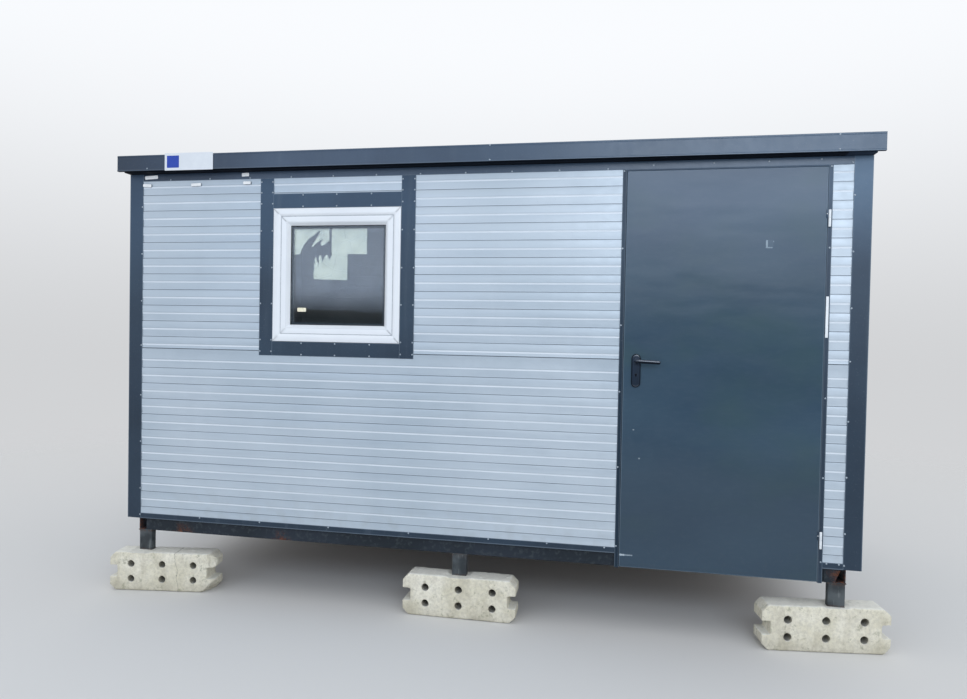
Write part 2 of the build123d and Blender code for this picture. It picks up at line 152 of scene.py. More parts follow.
class Paint(Nodes):
    """A procedural material: its surface shader, and the colour that is laid on it layer by layer."""

    def __init__(self, name, plain, roughness, **constants):
        self.material = bpy.data.materials.new(name)
        self.material.use_nodes = True
        super().__init__(self.material.node_tree, "Object")
        self.shader = self.tree.nodes["Principled BSDF"]
        self.shader.inputs["Base Color"].default_value = rgb(plain)
        self.shader.inputs["Roughness"].default_value = roughness
        for key, value in constants.items():
            self.shader.inputs[key.replace("_", " ").title().replace("Ior", "IOR")].default_value = value

    def ground(self, mask, dark, light):
        """Starts the colour with two tones."""
        self.base = self.mix(mask, dark, light)

    def over(self, tone, *masks):
        """Lays a tone over the colour so far, as strongly as its masks and shares say together."""
        self.base = self.mix(self.product(*masks), self.base, tone)

    def rough(self, value):
        """Uses a number as the roughness."""
        self.tree.links.new(value, self.shader.inputs["Roughness"])

    def done(self, *relief):
        """Uses the colour so far and stacks layers of relief, each a height and its depth in metres."""
        self.tree.links.new(self.base, self.shader.inputs["Base Color"])
        normal = None
        for height, depth in relief:
            inputs = {"Height": height, "Distance": depth, "Strength": 1.0}
            if normal:
                inputs["Normal"] = normal
            normal = self.node("ShaderNodeBump", inputs)
        self.tree.links.new(normal, self.shader.inputs["Normal"])
        return self.material

    def blend(self, factor, a, b):
        """Shows two shaders in place of one, by a factor."""
        both = self.node("ShaderNodeMixShader", {0: factor, 1: a, 2: b})
        self.tree.links.new(both, self.tree.nodes["Material Output"].inputs["Surface"])


def panel_paint():
    """Silver coil coating, with faint streaks and dust, a painted highlight along the upper shoulder of each
    raised band, and painted shade in the profile's grooves.
    """
    p = Paint("panel_silver", "B4C4D4", 0.34, metallic=0.15)
    streak = p.ramp(p.cloud(9.0, 4.0, (1.0, 1.0, 0.06)), 0.5, 0.75)
    swell = p.ramp(p.cloud(1.0, 3.0, (1.3, 1.3, 22.0), shift=2.3), 0.42, 0.7)
    speck = p.ramp(p.cloud(160.0, 2.0), 0.66, 0.78)
    patchy = p.ramp(p.cloud(2.6, 4.0, (1, 1, 14.0)), 0.3, 0.7, 0.7, 1.0)
    p.ground(p.ramp(p.cloud(0.9, 3.0), 0.3, 0.7), "B2C0CC", "C0CCD7")
    p.over("96A3AF", streak, 0.07)
    p.over("A1B0BF", swell, 0.22)
    p.over("8D979F", speck, 0.25)
    p.over("8F9088", p.ramp(p.axis("Z"), 0.78, 0.45), p.ramp(p.cloud(14.0, 5.0), 0.42, 0.72), 0.14)
    # Painted highlight: the upper shoulder of each raised band is painted near white.
    p.over("E9F2FB", p.named("wear"), patchy)
    # Painted shade: the grooves of the profile are painted dark.
    p.over("45525F", p.named("grime"), patchy, 0.68)
    p.rough(p.ramp(p.cloud(22.0, 4.0), 0.3, 0.7, 0.3, 0.4))
    return p.done((p.cloud(420.0, 2.0), 0.00012), (p.cloud(2.0, 2.0, (1, 1, 9)), 0.0009))


def lining_paint():
    """Pale lining of the room's side of the panels, with painted shade in its faint grooves."""
    p = Paint("lining_white", "DAD9D2", 0.4)
    p.ground(p.ramp(p.cloud(1.6, 4.0), 0.35, 0.7), "DEDDD7", "CFCEC6")
    # Painted shade in the lining's grooves.
    p.over("8E8D86", p.named("grime"), 0.5)
    return p.done((p.cloud(380.0, 2.0), 0.0001))


def foam_paint():
    """Cut foam core of a panel."""
    p = Paint("foam_core", "D8CBA4", 0.85)
    p.ground(p.cloud(60.0, 4.0), "D9CDA8", "BFAE82")
    return p.done((p.cloud(420.0, 3.0), 0.0008))


# Painted highlight high on the right corner: the places along the front where it starts, and the levels
# between which it comes on.
CORNER_BAND = (2.0, 2.06)  # places along the front where the pale right corner starts
CORNER_SHEEN_LEVELS = (2.05, 2.6)  # levels between which that corner turns pale


def trim_paint(name, dark, light, roughness, dust=0.16, axis="Z", foot=None, head=None, pale=0.0,
               **constants):
    """Anthracite coated sheet, with soft blotches, dust on ledges and pale lines along the folds that are rub
    wear and painted highlight together.

    A foot or head gives two places on the axis and the two tones that the sheet has before or after them; the
    calls use them for painted shade and painted light. A pale share paints a highlight high on the right
    corner.
    """
    p = Paint(name, dark, roughness, **constants)
    blotch = p.ramp(p.cloud(2.2, 4.0), 0.2, 0.82)
    p.ground(blotch, dark, light)
    if foot:
        p.ground(p.ramp(p.axis(axis), *foot[:2]), p.mix(blotch, *foot[2:]), p.base)
    if head:
        p.over(p.mix(blotch, *head[2:]), p.ramp(p.axis(axis), *head[:2]))
    if pale:
        # Painted highlight on the upper right corner.
        p.over("6C8AA6", p.ramp(p.axis("X"), *CORNER_BAND), p.ramp(p.axis("Z"), *CORNER_SHEEN_LEVELS, 0.0, pale))
    run = p.ramp(p.cloud(16.0, 4.0, (1, 1, 0.05)), 0.55, 0.78)
    speck = p.ramp(p.cloud(210.0, 2.0), 0.68, 0.76)
    p.over("66737E", run, dust)
    p.over("8C979F", speck, 0.3)
    # Pale lines along folds and hems: rub wear and painted highlight.
    p.over("8596A6", p.named("wear"), 0.4)
    # Painted shade where a piece's points carry it.
    p.over("1A2026", p.named("grime"), 0.75)
    p.rough(p.ramp(p.cloud(30.0, 4.0), 0.2, 0.8, roughness - 0.02, roughness + 0.05))
    return p.done((p.cloud(300.0, 2.0), 0.0001), (p.cloud(3.0, 2.0), 0.0005))


def shade_paint():
    """Near black painted shade for the underside of the eaves and other shaded faces, painted a little
    lighter past the right corner as painted light.
    """
    p = Paint("soffit_painted_shade", "0B111A", 0.8, specular_ior_level=0.1)
    p.ground(p.cloud(8.0, 4.0), "0A0F17", "121A26")
    p.over("263242", p.ramp(p.axis("X"), 2.05, 2.07))
    return p.done((p.cloud(90.0, 3.0), 0.0003))


def beam_paint():
    """Dull dark paint on rolled steel: dust, chips and rust that breaks through along the lower edges."""
    p = Paint("frame_paint", "1F2831", 0.55, specular_ior_level=0.3)
    p.ground(p.ramp(p.cloud(3.0, 5.0), 0.3, 0.7), "1A232B", "262F3A")
    p.over("565E60", p.ramp(p.cloud(40.0, 5.0), 0.5, 0.72), 0.25)
    spots = p.product(p.named("rust"), p.ramp(p.cloud(34.0, 6.0, roughness=0.7), 0.4, 0.56))
    stray = p.ramp(p.cloud(19.0, 7.0, roughness=0.75, shift=3.1), 0.7, 0.76)
    rust = p.calc("MAXIMUM", spots, p.product(stray, 0.5))
    p.over(p.mix(p.ramp(p.cloud(150.0, 4.0), 0.3, 0.7), "44291B", "7F4C32"), rust)
    p.rough(p.mix(rust, (0.5, 0.5, 0.5, 1), (0.9, 0.9, 0.9, 1)))
    return p.done((p.cloud(260.0, 3.0), 0.0003), (p.product(rust, p.cloud(300.0, 4.0)), 0.0012))


def leg_paint():
    """Worn dark paint, rubbed to dusty grey with scratches down to the steel."""
    p = Paint("leg_paint", "3C4549", 0.6)
    p.ground(p.ramp(p.cloud(12.0, 6.0), 0.35, 0.66), "2A3136", "4E5559")
    p.over("777D7C", p.ramp(p.cloud(70.0, 4.0, (1, 1, 0.12)), 0.62, 0.7), 0.6)
    rust = p.mix(p.ramp(p.cloud(160.0, 4.0), 0.3, 0.7), "38261C", "5F4030")
    p.over(rust, p.named("rust"), p.ramp(p.cloud(45.0, 6.0), 0.4, 0.55))
    return p.done((p.cloud(220.0, 4.0), 0.0005))


def concrete_paint():
    """Weathered precast concrete: upward faces painted paler as painted light, brown and green stains low
    down, pores, and painted shade in the hollows.
    """
    p = Paint("concrete", "C9C7B9", 0.9)
    stain = p.ramp(p.cloud(13.0, 5.0, (1, 1, 0.35)), 0.45, 0.68)
    moss = p.ramp(p.cloud(24.0, 6.0, roughness=0.7, shift=7.0), 0.56, 0.68)
    upward = p.node("ShaderNodeNewGeometry", {}, "Normal")
    # Painted light: the more a face looks up, the paler it is painted.
    top = p.ramp(p.node("ShaderNodeSeparateXYZ", {0: upward}, "Z"), 0.5, 0.95)
    pores = p.product(p.ramp(p.cells(230.0), 0.2, 0.06), p.ramp(p.cloud(70.0, 2.0), 0.48, 0.6))
    p.ground(p.ramp(p.cloud(7.0, 6.0, roughness=0.62), 0.32, 0.68), "E5E0CB", "F7F3E3")
    p.over("A19E93", p.ramp(p.cloud(55.0, 6.0, roughness=0.7), 0.35, 0.7, 0.0, 0.35))
    p.over("9C937A", stain, 0.26)
    p.over("8A8370", p.ramp(p.axis("Z"), 0.1, 0.0), p.ramp(p.cloud(10.0, 4.0), 0.2, 0.7, 0.4, 1.0), 0.36)
    p.over("6F7350", moss, 0.45)
    p.over("EDEFEC", top, 0.6)
    p.over("5A564B", pores, 0.7)
    # Painted shade in holes and notches.
    p.over("3A372F", p.named("grime"))
    return p.done((p.cloud(60.0, 8.0, roughness=0.75), 0.005), (p.cloud(420.0, 4.0), 0.002),
                  (p.calc("SUBTRACT", 1.0, pores), 0.003))


# Marks on the door from the leaf's lower left corner: left, right, foot, head and tone
DOOR_MARKS = [
    (0.744, 0.781, 1.796, 1.838, "43586B"),
    (0.743, 0.752, 1.797, 1.837, "8798A6"),
    (0.743, 0.776, 1.794, 1.800, "7A8C9B"),
    (0.778, 0.783, 1.826, 1.832, "7A8C9B"),
    (0.000, 0.073, 0.066, 0.072, "8E9CA8"),
    (0.004, 0.030, 0.064, 0.074, "AEBBC5"),
    (0.060, 0.068, 0.776, 0.782, "93A0A9"),
    (0.095, 0.103, 0.616, 0.622, "93A0A9"),
]


def door_mark(p, left, right, foot, head):
    """A ragged patch between two places and two heights on the leaf, as a number from 0 to 1."""
    wobble = p.product(p.calc("SUBTRACT", p.cloud(150.0, 4.0), 0.5), 0.008)
    soft = 0.002
    masks = []
    for axis, corner, near, far in (("X", LEAF_LOW.x, left, right), ("Z", LEAF_LOW.z, foot, head)):
        place = p.calc("ADD", p.axis(axis), wobble)
        start, end = corner + near, corner + far
        masks += [p.ramp(place, start - soft, start + soft), p.ramp(place, end + soft, end - soft)]
    return p.product(*masks)


def door_paint(name, marks):
    """Satin paint on the door's sheet: soft cloudy tone, fine dust, painted reflection paler and bluer high
    up with greenish patches, painted shade low down, pale edges that are rub wear and painted highlight, and
    outside the marks of use.
    """
    p = Paint(name, "334659", 0.3, specular_ior_level=0.4)
    p.ground(p.ramp(p.cloud(1.1, 3.0, (1, 1, 2.4)), 0.15, 0.85), "334759", "3D5364")
    p.over("7B8B97", p.ramp(p.cloud(19.0, 5.0, (1, 1, 2.6)), 0.4, 0.9), 0.05)
    # Painted reflection: soft greenish patches.
    p.over("3C5458", p.ramp(p.cloud(1.7, 3.0, (1, 1, 1.6), shift=4.4), 0.45, 0.75, 0.0, 0.6))
    p.over("77776B", p.ramp(p.axis("Z"), 0.75, 0.4), p.ramp(p.cloud(70.0, 5.0), 0.5, 0.75), 0.06)
    # Painted reflection: paler and bluer towards the top.
    p.over("344F74", p.ramp(p.axis("Z"), 1.9, 2.5, 0.0, 0.3))
    # Painted shade: darker towards the bottom.
    p.over("263848", p.ramp(p.axis("Z"), 1.2, 0.75, 0.0, 0.45))
    for *edges, tone in marks:
        p.over(tone, door_mark(p, *edges))
    # Pale edges: rub wear and painted highlight.
    p.over("8496A6", p.named("wear"), 0.35)
    p.over("161C22", p.named("grime"), 0.8)
    p.rough(p.ramp(p.cloud(5.0, 5.0, (1, 1, 2.2)), 0.15, 0.85, 0.16, 0.24))
    return p.done((p.cloud(520.0, 2.0), 0.00002), (p.cloud(1.0, 2.0, (1.5, 1, 4.5)), 0.004))


def pvc_paint():
    """White window plastic with painted shade along its steps."""
    p = Paint("white_pvc", "DFE6EE", 0.32)
    p.ground(p.ramp(p.cloud(3.0, 4.0), 0.3, 0.8), "E9EEF3", "E2E7ED")
    # Painted shade along the profile's steps.
    p.over("7C828A", p.named("grime"), 0.7)
    return p.done((p.cloud(300.0, 2.0), 0.00006))


def plain_paint(name, dark, light, roughness, grain=60.0, depth=0.0002, **constants):
    """A surface of two close tones, mottled, with fine grain."""
    p = Paint(name, dark, roughness, **constants)
    p.ground(p.ramp(p.cloud(grain, 5.0), 0.3, 0.7), dark, light)
    return p.done((p.cloud(grain * 6, 3.0), depth))


def paper_paint():
    """Faded paper, creased and a little uneven in tone, with painted shade along the creases."""
    p = Paint("faded_paper", "EBE9DC", 0.8)
    crease = p.ramp(p.cells(11.0, "DISTANCE_TO_EDGE"), 0.035, 0.0)
    p.ground(p.ramp(p.cloud(9.0, 5.0), 0.3, 0.7), "E8E3C6", "F8F2D8")
    # Painted shade along the creases.
    p.over("A9AFA4", crease, 0.3)
    return p.done((p.cloud(40.0, 4.0), 0.001), (crease, 0.0008))


def roof_paint():
    """Grey roof sheet, with dust and water stains between the ribs."""
    p = Paint("roof_sheet", "8A9197", 0.45)
    p.ground(p.ramp(p.cloud(1.5, 5.0), 0.3, 0.7), "868D93", "9AA1A6")
    p.over("6E7069", p.ramp(p.cloud(4.0, 6.0, (1, 0.35, 1)), 0.5, 0.72), 0.24)
    # Darker at the feet of the ribs and folds and at the edges.
    p.over("55574F", p.named("grime"), 0.5)
    return p.done((p.cloud(300.0, 3.0), 0.0002))


def floor_board_paint():
    """Film faced board with scuffs and fine grit."""
    p = Paint("floor_board", "5A4636", 0.5)
    p.ground(p.ramp(p.cloud(6.0, 5.0, (0.2, 1, 1)), 0.3, 0.7), "4E3C2D", "6B5442")
    p.over("8C7B69", p.ramp(p.cloud(30.0, 6.0, (1, 0.3, 1)), 0.58, 0.7), 0.4)
    return p.done((p.cloud(500.0, 3.0), 0.0003))


def glass_paint():
    """Clear coated glass, faintly cool and uneven, which lets lamps light what is behind it."""
    p = Paint("window_glass", "F2F5F6", 0.0, ior=1.55, transmission_weight=1.0)
    p.ground(p.ramp(p.cloud(6.0, 3.0), 0.3, 0.8), "F4F7F8", "EBEFF1")
    lit = p.node("ShaderNodeLightPath", {}, "Is Shadow Ray")
    p.blend(lit, p.shader.outputs[0], p.node("ShaderNodeBsdfTransparent", {"Color": rgb("F4F6F6")}))
    return p.done((p.cloud(1.6, 2.0), 0.0006))


PANEL = panel_paint()
LINING = lining_paint()
FOAM = foam_paint()
# Trim: painted shade darker low down, painted light paler high up, and a painted highlight on the upper right
# corner.
TRIM = trim_paint("trim_anthracite", "273748", "314456", 0.4, foot=(1.0, 1.7, "203040", "283B4D"),
                  head=(1.8, 2.6, "2F4359", "3B536B"), pale=0.43, specular_ior_level=0.4)
# Trim for the left door jamb, painted darker low down as painted shade.
TRIM_SHADED = trim_paint("trim_shaded", "273748", "314456", 0.4, foot=(1.35, 2.3, "142839", "182C3D"),
                       specular_ior_level=0.3)
# Fascia and top flashings: painted reflection, dark at the left end and paler towards the right.
FASCIA = trim_paint("fascia_anthracite", "2F4156", "3B4E64", 0.3, dust=0.1, axis="X",
                    foot=(-2.3, -0.9, "1A2D40", "233850"), head=(-0.9, 1.6, "33495F", "40576F"),
                    specular_ior_level=0.55)
SHADE = shade_paint()
BEAM = beam_paint()
LEG = leg_paint()
CONCRETE = concrete_paint()
DOOR_OUT = door_paint("door_paint_outside", DOOR_MARKS)
DOOR_IN = door_paint("door_paint_inside", [])
PVC = pvc_paint()
PAPER = paper_paint()
ROOF = roof_paint()
BOARD = floor_board_paint()
GLASS = glass_paint()
SEAL = plain_paint("gasket_grey", "9AA1A9", "AEB5BC", 0.6)
RUBBER = plain_paint("gasket_rubber", "14171A", "1F2327", 0.65)
HANDLE = plain_paint("handle_black", "0E1A28", "142233", 0.35, 25.0, 0.00003, coat_weight=1.0,
                     coat_roughness=0.12, coat_ior=1.7, coat_tint=(0.62, 0.8, 1.0, 1.0))
ZINC = plain_paint("zinc_plated", "B9BFC4", "D3D8DB", 0.35, 120.0, 0.00008, metallic=0.85)
SCREW = plain_paint("screw_heads", "95A1AC", "B4BFC9", 0.4, 120.0, 0.00008, metallic=0.4)
WHITE = plain_paint("white_plastic", "E0E6EB", "EAEFF3", 0.45, 40.0, 0.0001)
SIGN = plain_paint("sign_white", "D8DEE5", "DDE3E9", 0.3, 20.0, 0.00005)
PAD_FACE = plain_paint("pad_face", "F1F4F6", "F6F8F9", 0.5, 30.0, 0.0001)
PAD_EDGE_SHADE = plain_paint("pad_edge_shade", "6F7A84", "7D8791", 0.7, 30.0, 0.0001)
BLUE = plain_paint("sign_blue", "0A3AA0", "153FAC", 0.32, 25.0, 0.00005)
SPACER = plain_paint("spacer_bar", "8E9499", "A5ABB0", 0.35, 90.0, 0.00005, metallic=0.8)


# Outlines
def wavy(size, scale, outward):
    """A slight unevenness of thin sheet, pushed along one direction."""
    return lambda p: Vector(outward) * (size * noise.noise(Vector(p) * scale))


def eased(points, radius, closed=True, segments=3):
    """An outline or an open path with its corners rounded."""
    result = []
    count = len(points)
    for i, point in enumerate(points):
        corner = Vector(point)
        if not closed and i in (0, count - 1):
            result.append(corner)
            continue
        before = Vector(points[i - 1]) - corner
        after = Vector(points[(i + 1) % count]) - corner
        half = before.angle(after) / 2
        cut = min(radius / max(math.tan(half), 0.01), 0.45 * min(before.length, after.length))
        start = corner + before.normalized() * cut
        end = corner + after.normalized() * cut
        for k in range(segments + 1):
            t = k / segments
            result.append(start.lerp(corner, t).lerp(corner.lerp(end, t), t))
    return result


METAL = 0.0007  # thickness of folded sheet


def folded(path, bend, segments):
    """The closed section of sheet metal that follows a path, with rounded bends."""
    line = eased(path, bend, closed=False, segments=segments)
    left, right = [], []
    for i, point in enumerate(line):
        along = line[min(i + 1, len(line) - 1)] - line[max(i - 1, 0)]
        side = Vector((-along.y, along.x)).normalized() * (METAL / 2)
        left.append(point + side)
        right.append(point - side)
    return edged(left + right[::-1])


def edged(outline, reach=0.004):
    """The outline with a point near both ends of each long edge, so that rub marks stay at the folds."""
    result = []
    for a, b in edges(outline):
        result.append(a)
        length = (b - a).length
        if length > 3 * reach:
            result += [a.lerp(b, reach / length), a.lerp(b, 1 - reach / length)]
    return result


def shifted(points, x, y=0.0):
    """Points moved by a distance along each of their two directions."""
    return [(x + p[0], y + p[1]) for p in points]


def edges(outline):
    """The edges of a closed outline, each as its two ends."""
    return zip(outline, outline[1:] + outline[:1])


def rectangle(width, height, radius, segments=3):
    """A rectangle about the origin, with rounded corners."""
    w, h = width / 2, height / 2
    return eased([(-w, -h), (w, -h), (w, h), (-w, h)], radius, segments=segments)


def circle(radius, segments=16):
    """A circle about the origin."""
    turns = [2 * math.pi * i / segments for i in range(segments)]
    return [Vector((radius * math.cos(a), radius * math.sin(a))) for a in turns]


class Piece:
    """Gathers the faces of one piece, with a paint for each face and, for each point, marks of dirt and
    painted shade, of wear and painted highlight, and of rust.
    """

    def __init__(self, name):
        self.name = name
        self.points = []
        self.faces = []
        self.paints = []
        self.face_paints = []
        self.marks = {"grime": {}, "wear": {}, "rust": {}}

    def add(self, points, faces, paint, **marks):
        """Adds faces. A paint is one material or one a face, a mark is one number a point or a rule."""
        base = len(self.points)
        self.points += [Vector(p) for p in points]
        self.faces += [[base + i for i in face] for face in faces]
        for each in paint if isinstance(paint, list) else [paint] * len(faces):
            if each not in self.paints:
                self.paints.append(each)
            self.face_paints.append(self.paints.index(each))
        for name, values in marks.items():
            if callable(values):
                values = [values(p) for p in points]
            for i, value in enumerate(values):
                if value:
                    self.marks[name][base + i] = value

    def loft(self, rings, paint, closed=False, warp=None, **marks):
        """Joins rings of as many points each, in order, with flat ends or the last joined to the first."""
        count = len(rings[0])
        points = [p for ring in rings for p in ring]
        if warp:
            points = [p + warp(p) for p in points]
        faces = []
        for k in range(len(rings) if closed else len(rings) - 1):
            after = (k + 1) % len(rings)
            for i in range(count):
                j = (i + 1) % count
                faces.append([k * count + i, k * count + j, after * count + j, after * count + i])
        if not closed:
            faces += [list(range(count))[::-1], list(range(len(points) - count, len(points)))]
        self.add(points, faces, paint, **marks)

    def prism(self, outline, start, end, across, up, paint, steps=1, warp=None, **marks):
        """An outline, laid out along two directions, drawn from one point to another."""
        rings = []
        for k in range(steps + 1):
            centre = Vector(start).lerp(Vector(end), k / steps)
            rings.append([centre + across * p[0] + up * p[1] for p in outline])
        if isinstance(paint, list):
            paint = paint * steps + [paint[-1]] * 2
        spread = {name: v if callable(v) else list(v) * (steps + 1) for name, v in marks.items()}
        self.loft(rings, paint, warp=warp, **spread)

    def run(self, section, side, face, ends, paint, stride, waver, foot=0.0, **marks):
        """A section drawn along one side of the cabin, between two places on a face and from a level up."""
        outward, along = side
        start, end = (outward * face + along * place + Z * foot for place in ends)
        steps = max(2, round((ends[1] - ends[0]) / stride))
        self.prism(section, start, end, outward, Z, paint, steps, warp=wavy(*waver, outward), **marks)

    def plate(self, centre, outlines, outward, paint):
        """Upright outlines, each a height out from a centre and its points, joined in order."""
        across = X if outward.x == 0 else Y
        rings = []
        for height, outline in outlines:
            rings.append([centre + outward * height + across * p.x + Z * p.y for p in outline])
        self.loft(rings, paint)

    def block(self, lowest, highest, paint, bevel=0.001, segments=2, cuts=(1, 1, 1), margin=None, warp=None,
              **marks):
        """A box with rounded edges between two corners, its faces cut into a grid, and beside their edges."""
        lowest, highest = Vector(lowest), Vector(highest)
        size = highest - lowest
        cube = bmesh.new()
        bmesh.ops.create_cube(cube, size=1.0)
        for v in cube.verts:
            v.co = Vector(lowest + Vector(s * (c + 0.5) for s, c in zip(size, v.co)))
        radius = min(bevel, 0.45 * min(size))
        bmesh.ops.bevel(cube, geom=cube.edges[:], offset=radius, segments=segments, affect="EDGES",
                        profile=0.5)
        for normal, count, length in zip((X, Y, Z), cuts, size):
            places = [length * i / count for i in range(1, count)]
            if margin and length > 4 * margin:
                places += [margin, length - margin]
            for place in places:
                everything = cube.verts[:] + cube.edges[:] + cube.faces[:]
                spot = lowest + normal * place
                bmesh.ops.bisect_plane(cube, geom=everything, plane_co=spot, plane_no=normal)
        cube.verts.index_update()
        points = [v.co.copy() for v in cube.verts]
        if warp:
            points = [p + warp(p) for p in points]
        faces = [[v.index for v in f.verts] for f in cube.faces]
        cube.free()
        self.add(points, faces, paint, **marks)

    def turn(self, profile, origin, axis, paint, segments=16):
        """A turned shape: radius and height pairs about an axis, closed at its ends."""
        axis = Vector(axis).normalized()
        side = axis.orthogonal().normalized()
        other = axis.cross(side)
        rings = []
        for radius, height in profile:
            centre = Vector(origin) + axis * height
            rings.append([centre + (side * c.x + other * c.y) * radius for c in circle(1.0, segments)])
        self.loft(rings, paint)

    def sweep(self, path, section, up, paint, underside_shade):
        """A section that changes along a path, as section(share) says. Its lower half, its last step and its
        ends take a second paint, the painted shade.
        """
        rings = []
        for k, centre in enumerate(path):
            along = (path[min(k + 1, len(path) - 1)] - path[max(k - 1, 0)]).normalized()
            side = along.cross(up).normalized()
            top = side.cross(along)
            rings.append([centre + side * p[0] + top * p[1] for p in section(k / (len(path) - 1))])
        outline = section(0.5)
        halves = [underside_shade if p[1] + q[1] < 0 else paint for p, q in edges(outline)]
        self.loft(rings, halves * (len(rings) - 2) + [underside_shade] * (len(outline) + 2))

    def make(self, body, slot, *nodes, sharp=32.0):
        """Turns the faces into an object that rides on a body and stands for the given nodes."""
        mesh = bpy.data.meshes.new(self.name)
        mesh.from_pydata(self.points, [], self.faces)
        for paint in self.paints:
            mesh.materials.append(paint)
        mesh.polygons.foreach_set("material_index", self.face_paints)
        for name, values in self.marks.items():
            if values:
                layer = mesh.attributes.new(name, "FLOAT", "POINT")
                for i, value in values.items():
                    layer.data[i].value = value
        shell = bmesh.new()
        shell.from_mesh(mesh)
        bmesh.ops.recalc_face_normals(shell, faces=shell.faces[:])
        shell.to_mesh(mesh)
        shell.free()
        mesh.shade_smooth()
        mesh.set_sharp_from_angle(angle=math.radians(sharp))
        made = bpy.data.objects.new(self.name, mesh)
        bpy.context.scene.collection.objects.link(made)
        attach(made, body)
        if nodes:
            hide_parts(*nodes)


# A screw's washer and its pan head with a recess: share of the head's radius, and height above the face
SCREW_PROFILE = [(1.25, -0.0006), (1.3, 0.0004), (1.15, 0.001), (1.0, 0.0011), (0.97, 0.0021),
                 (0.72, 0.0031), (0.3, 0.0035), (0.2, 0.0028)]
SCREW_RECESS = (0.0001, 0.0027)  # middle of the recess
SCREW_TILT = 0.05  # how far a screw leans, at most, for each direction
dice = random.Random(7)


def screw(piece, place, outward, radius=0.0038, paint=SCREW):
    """A pan head screw on its washer, seated on a face and a little askew."""
    tilt = Vector((dice.uniform(-1, 1), dice.uniform(-1, 1), dice.uniform(-1, 1))) * SCREW_TILT
    profile = [(radius * share, height) for share, height in SCREW_PROFILE] + [SCREW_RECESS]
    piece.turn(profile, place, Vector(outward) + tilt, paint, segments=14)


# Wall panels: each side's outward direction and the direction along it
SIDES = {"front": (-Y, X), "rear": (Y, X), "left": (-X, Y), "right": (X, Y)}
PITCH = 0.1  # from one raised band to the next
BAND_FOOT = 0.0755  # lower edge of the first raised band above the foot of its course
BAND_HEAD = 0.0248  # upper edge of the raised band at the foot of a course
STEP = 0.0022  # from a band's face back to the flat between bands
GROOVE = 0.0046
LIP = 0.011  # how far the skin turns in at the edges of a panel
# The skin across a band's head and foot: height from its edge, depth, painted shade and painted highlight
HEAD_LINE = [(-0.0062, STEP, 0, 0), (-0.0044, STEP, 0, 1), (0.0022, 0.0006, 0, 1), (0.0034, 0.0, 0, 0),
             (0.0042, 0.0, 0.25, 0), (0.0115, 0.0, 0, 0)]
FOOT_LINE = [(-0.0050, 0.0, 0.1, 0), (-0.0024, 0.0008, 0.3, 0), (-0.0010, GROOVE, 1, 0),
             (0.0008, GROOVE, 0.9, 0), (0.0016, STEP, 0.1, 0), (0.0044, STEP, 0, 0.3), (0.0060, STEP, 0, 0)]
PANEL_STRIDE, PANEL_WAVER = 0.16, (0.0007, Vector((2.1, 2.1, 1.3)))


def course_profile(bottom, top, course):
    """Height, depth, painted shade and painted highlight of the skin between two levels, for a course that
    starts at a level.
    """
    profile = [(bottom, LIP, 1, 0), (bottom + 0.0008, 0.004, 1, 0), (bottom + 0.0028, 0.0, 0.15, 0)]
    count = round(COURSE / PITCH)
    for j in range(count):
        head = course + BAND_HEAD + j * PITCH
        foot = course + BAND_FOOT + j * PITCH
        if bottom + 0.006 < head < top - 0.014:
            profile += [(head + rise, *rest) for rise, *rest in HEAD_LINE]
        if bottom + 0.004 < foot < top - 0.004 and j < count - 1:
            profile += [(foot + rise, *rest) for rise, *rest in FOOT_LINE]
    depth = profile[-1][1]
    return profile + [(top - 0.0026, depth, 0.15, 0), (top - 0.0008, 0.004, 1, 0), (top, LIP, 1, 0)]


def wall_panel(node, side, seams=()):
    """A panel in place of its node: profiled outer skin, foam core and a lining with faint grooves."""
    outward, along = SIDES[side]
    lowest, highest = low(node), high(node)
    levels = [lowest.z, *seams, highest.z]
    skin = []
    for bottom, top in zip(levels, levels[1:]):
        skin += course_profile(bottom, top, BEAM_TOP if bottom < JOINT - 0.01 else JOINT)
    lining = [(highest.z, WALL, 0, 0)]
    level = highest.z - 0.05
    # Each faint groove of the lining has painted shade at its middle point.
    while level > lowest.z + 0.02:
        lining += [(level + 0.002, WALL, 0, 0), (level, WALL - 0.0012, 1, 0), (level - 0.002, WALL, 0, 0)]
        level -= PITCH
    lining.append((lowest.z, WALL, 0, 0))
    # The last two columns are the painted shade and painted highlight of each point.
    heights, depths, dirt_and_shade, painted_sheen = zip(*(skin + lining))
    outline = [(-depth, height) for depth, height in zip(depths, heights)]
    ends = TRIM if outward.x == 0 else FOAM
    paint = [PANEL] * (len(skin) - 1) + [FOAM] + [LINING] * (len(lining) - 1) + [ends]
    face = max(lowest.dot(outward), highest.dot(outward))
    piece = Piece(node + "_profiled")
    piece.run(outline, SIDES[side], face, (lowest.dot(along), highest.dot(along)), paint, PANEL_STRIDE,
              PANEL_WAVER, grime=dirt_and_shade, wear=painted_sheen)
    piece.make("cabin", "panel_silver", node, sharp=18.0)


for wall in ("lower", "upper_left", "upper_right", "under_window", "over_window", "over_door"):
    wall_panel("front_wall_" + wall, "front")
wall_panel("front_wall_beside_door", "front", seams=(JOINT,))
for side in ("left", "right", "rear"):
    for course in ("lower", "upper"):
        wall_panel(f"{side}_wall_{course}", side)


# Flashings of folded sheet, each with its edges turned under
HEM = 0.012
UNDER = 0.0005  # the turned-under layer, out from the panel's face
OVER = 0.0016  # the outer layer
SEATED = 0.0021  # where a screw sits on a flashing, out from the panel's face
CORNER_X = 2.107  # inner edge of the corner flashings on the front, from the middle
CORNER_WIDTH = HALF - CORNER_X
CORNER_Y = -FRONT - CORNER_WIDTH
SHEET_STRIDE, SHEET_WAVER = 0.25, (0.0004, 4.0)


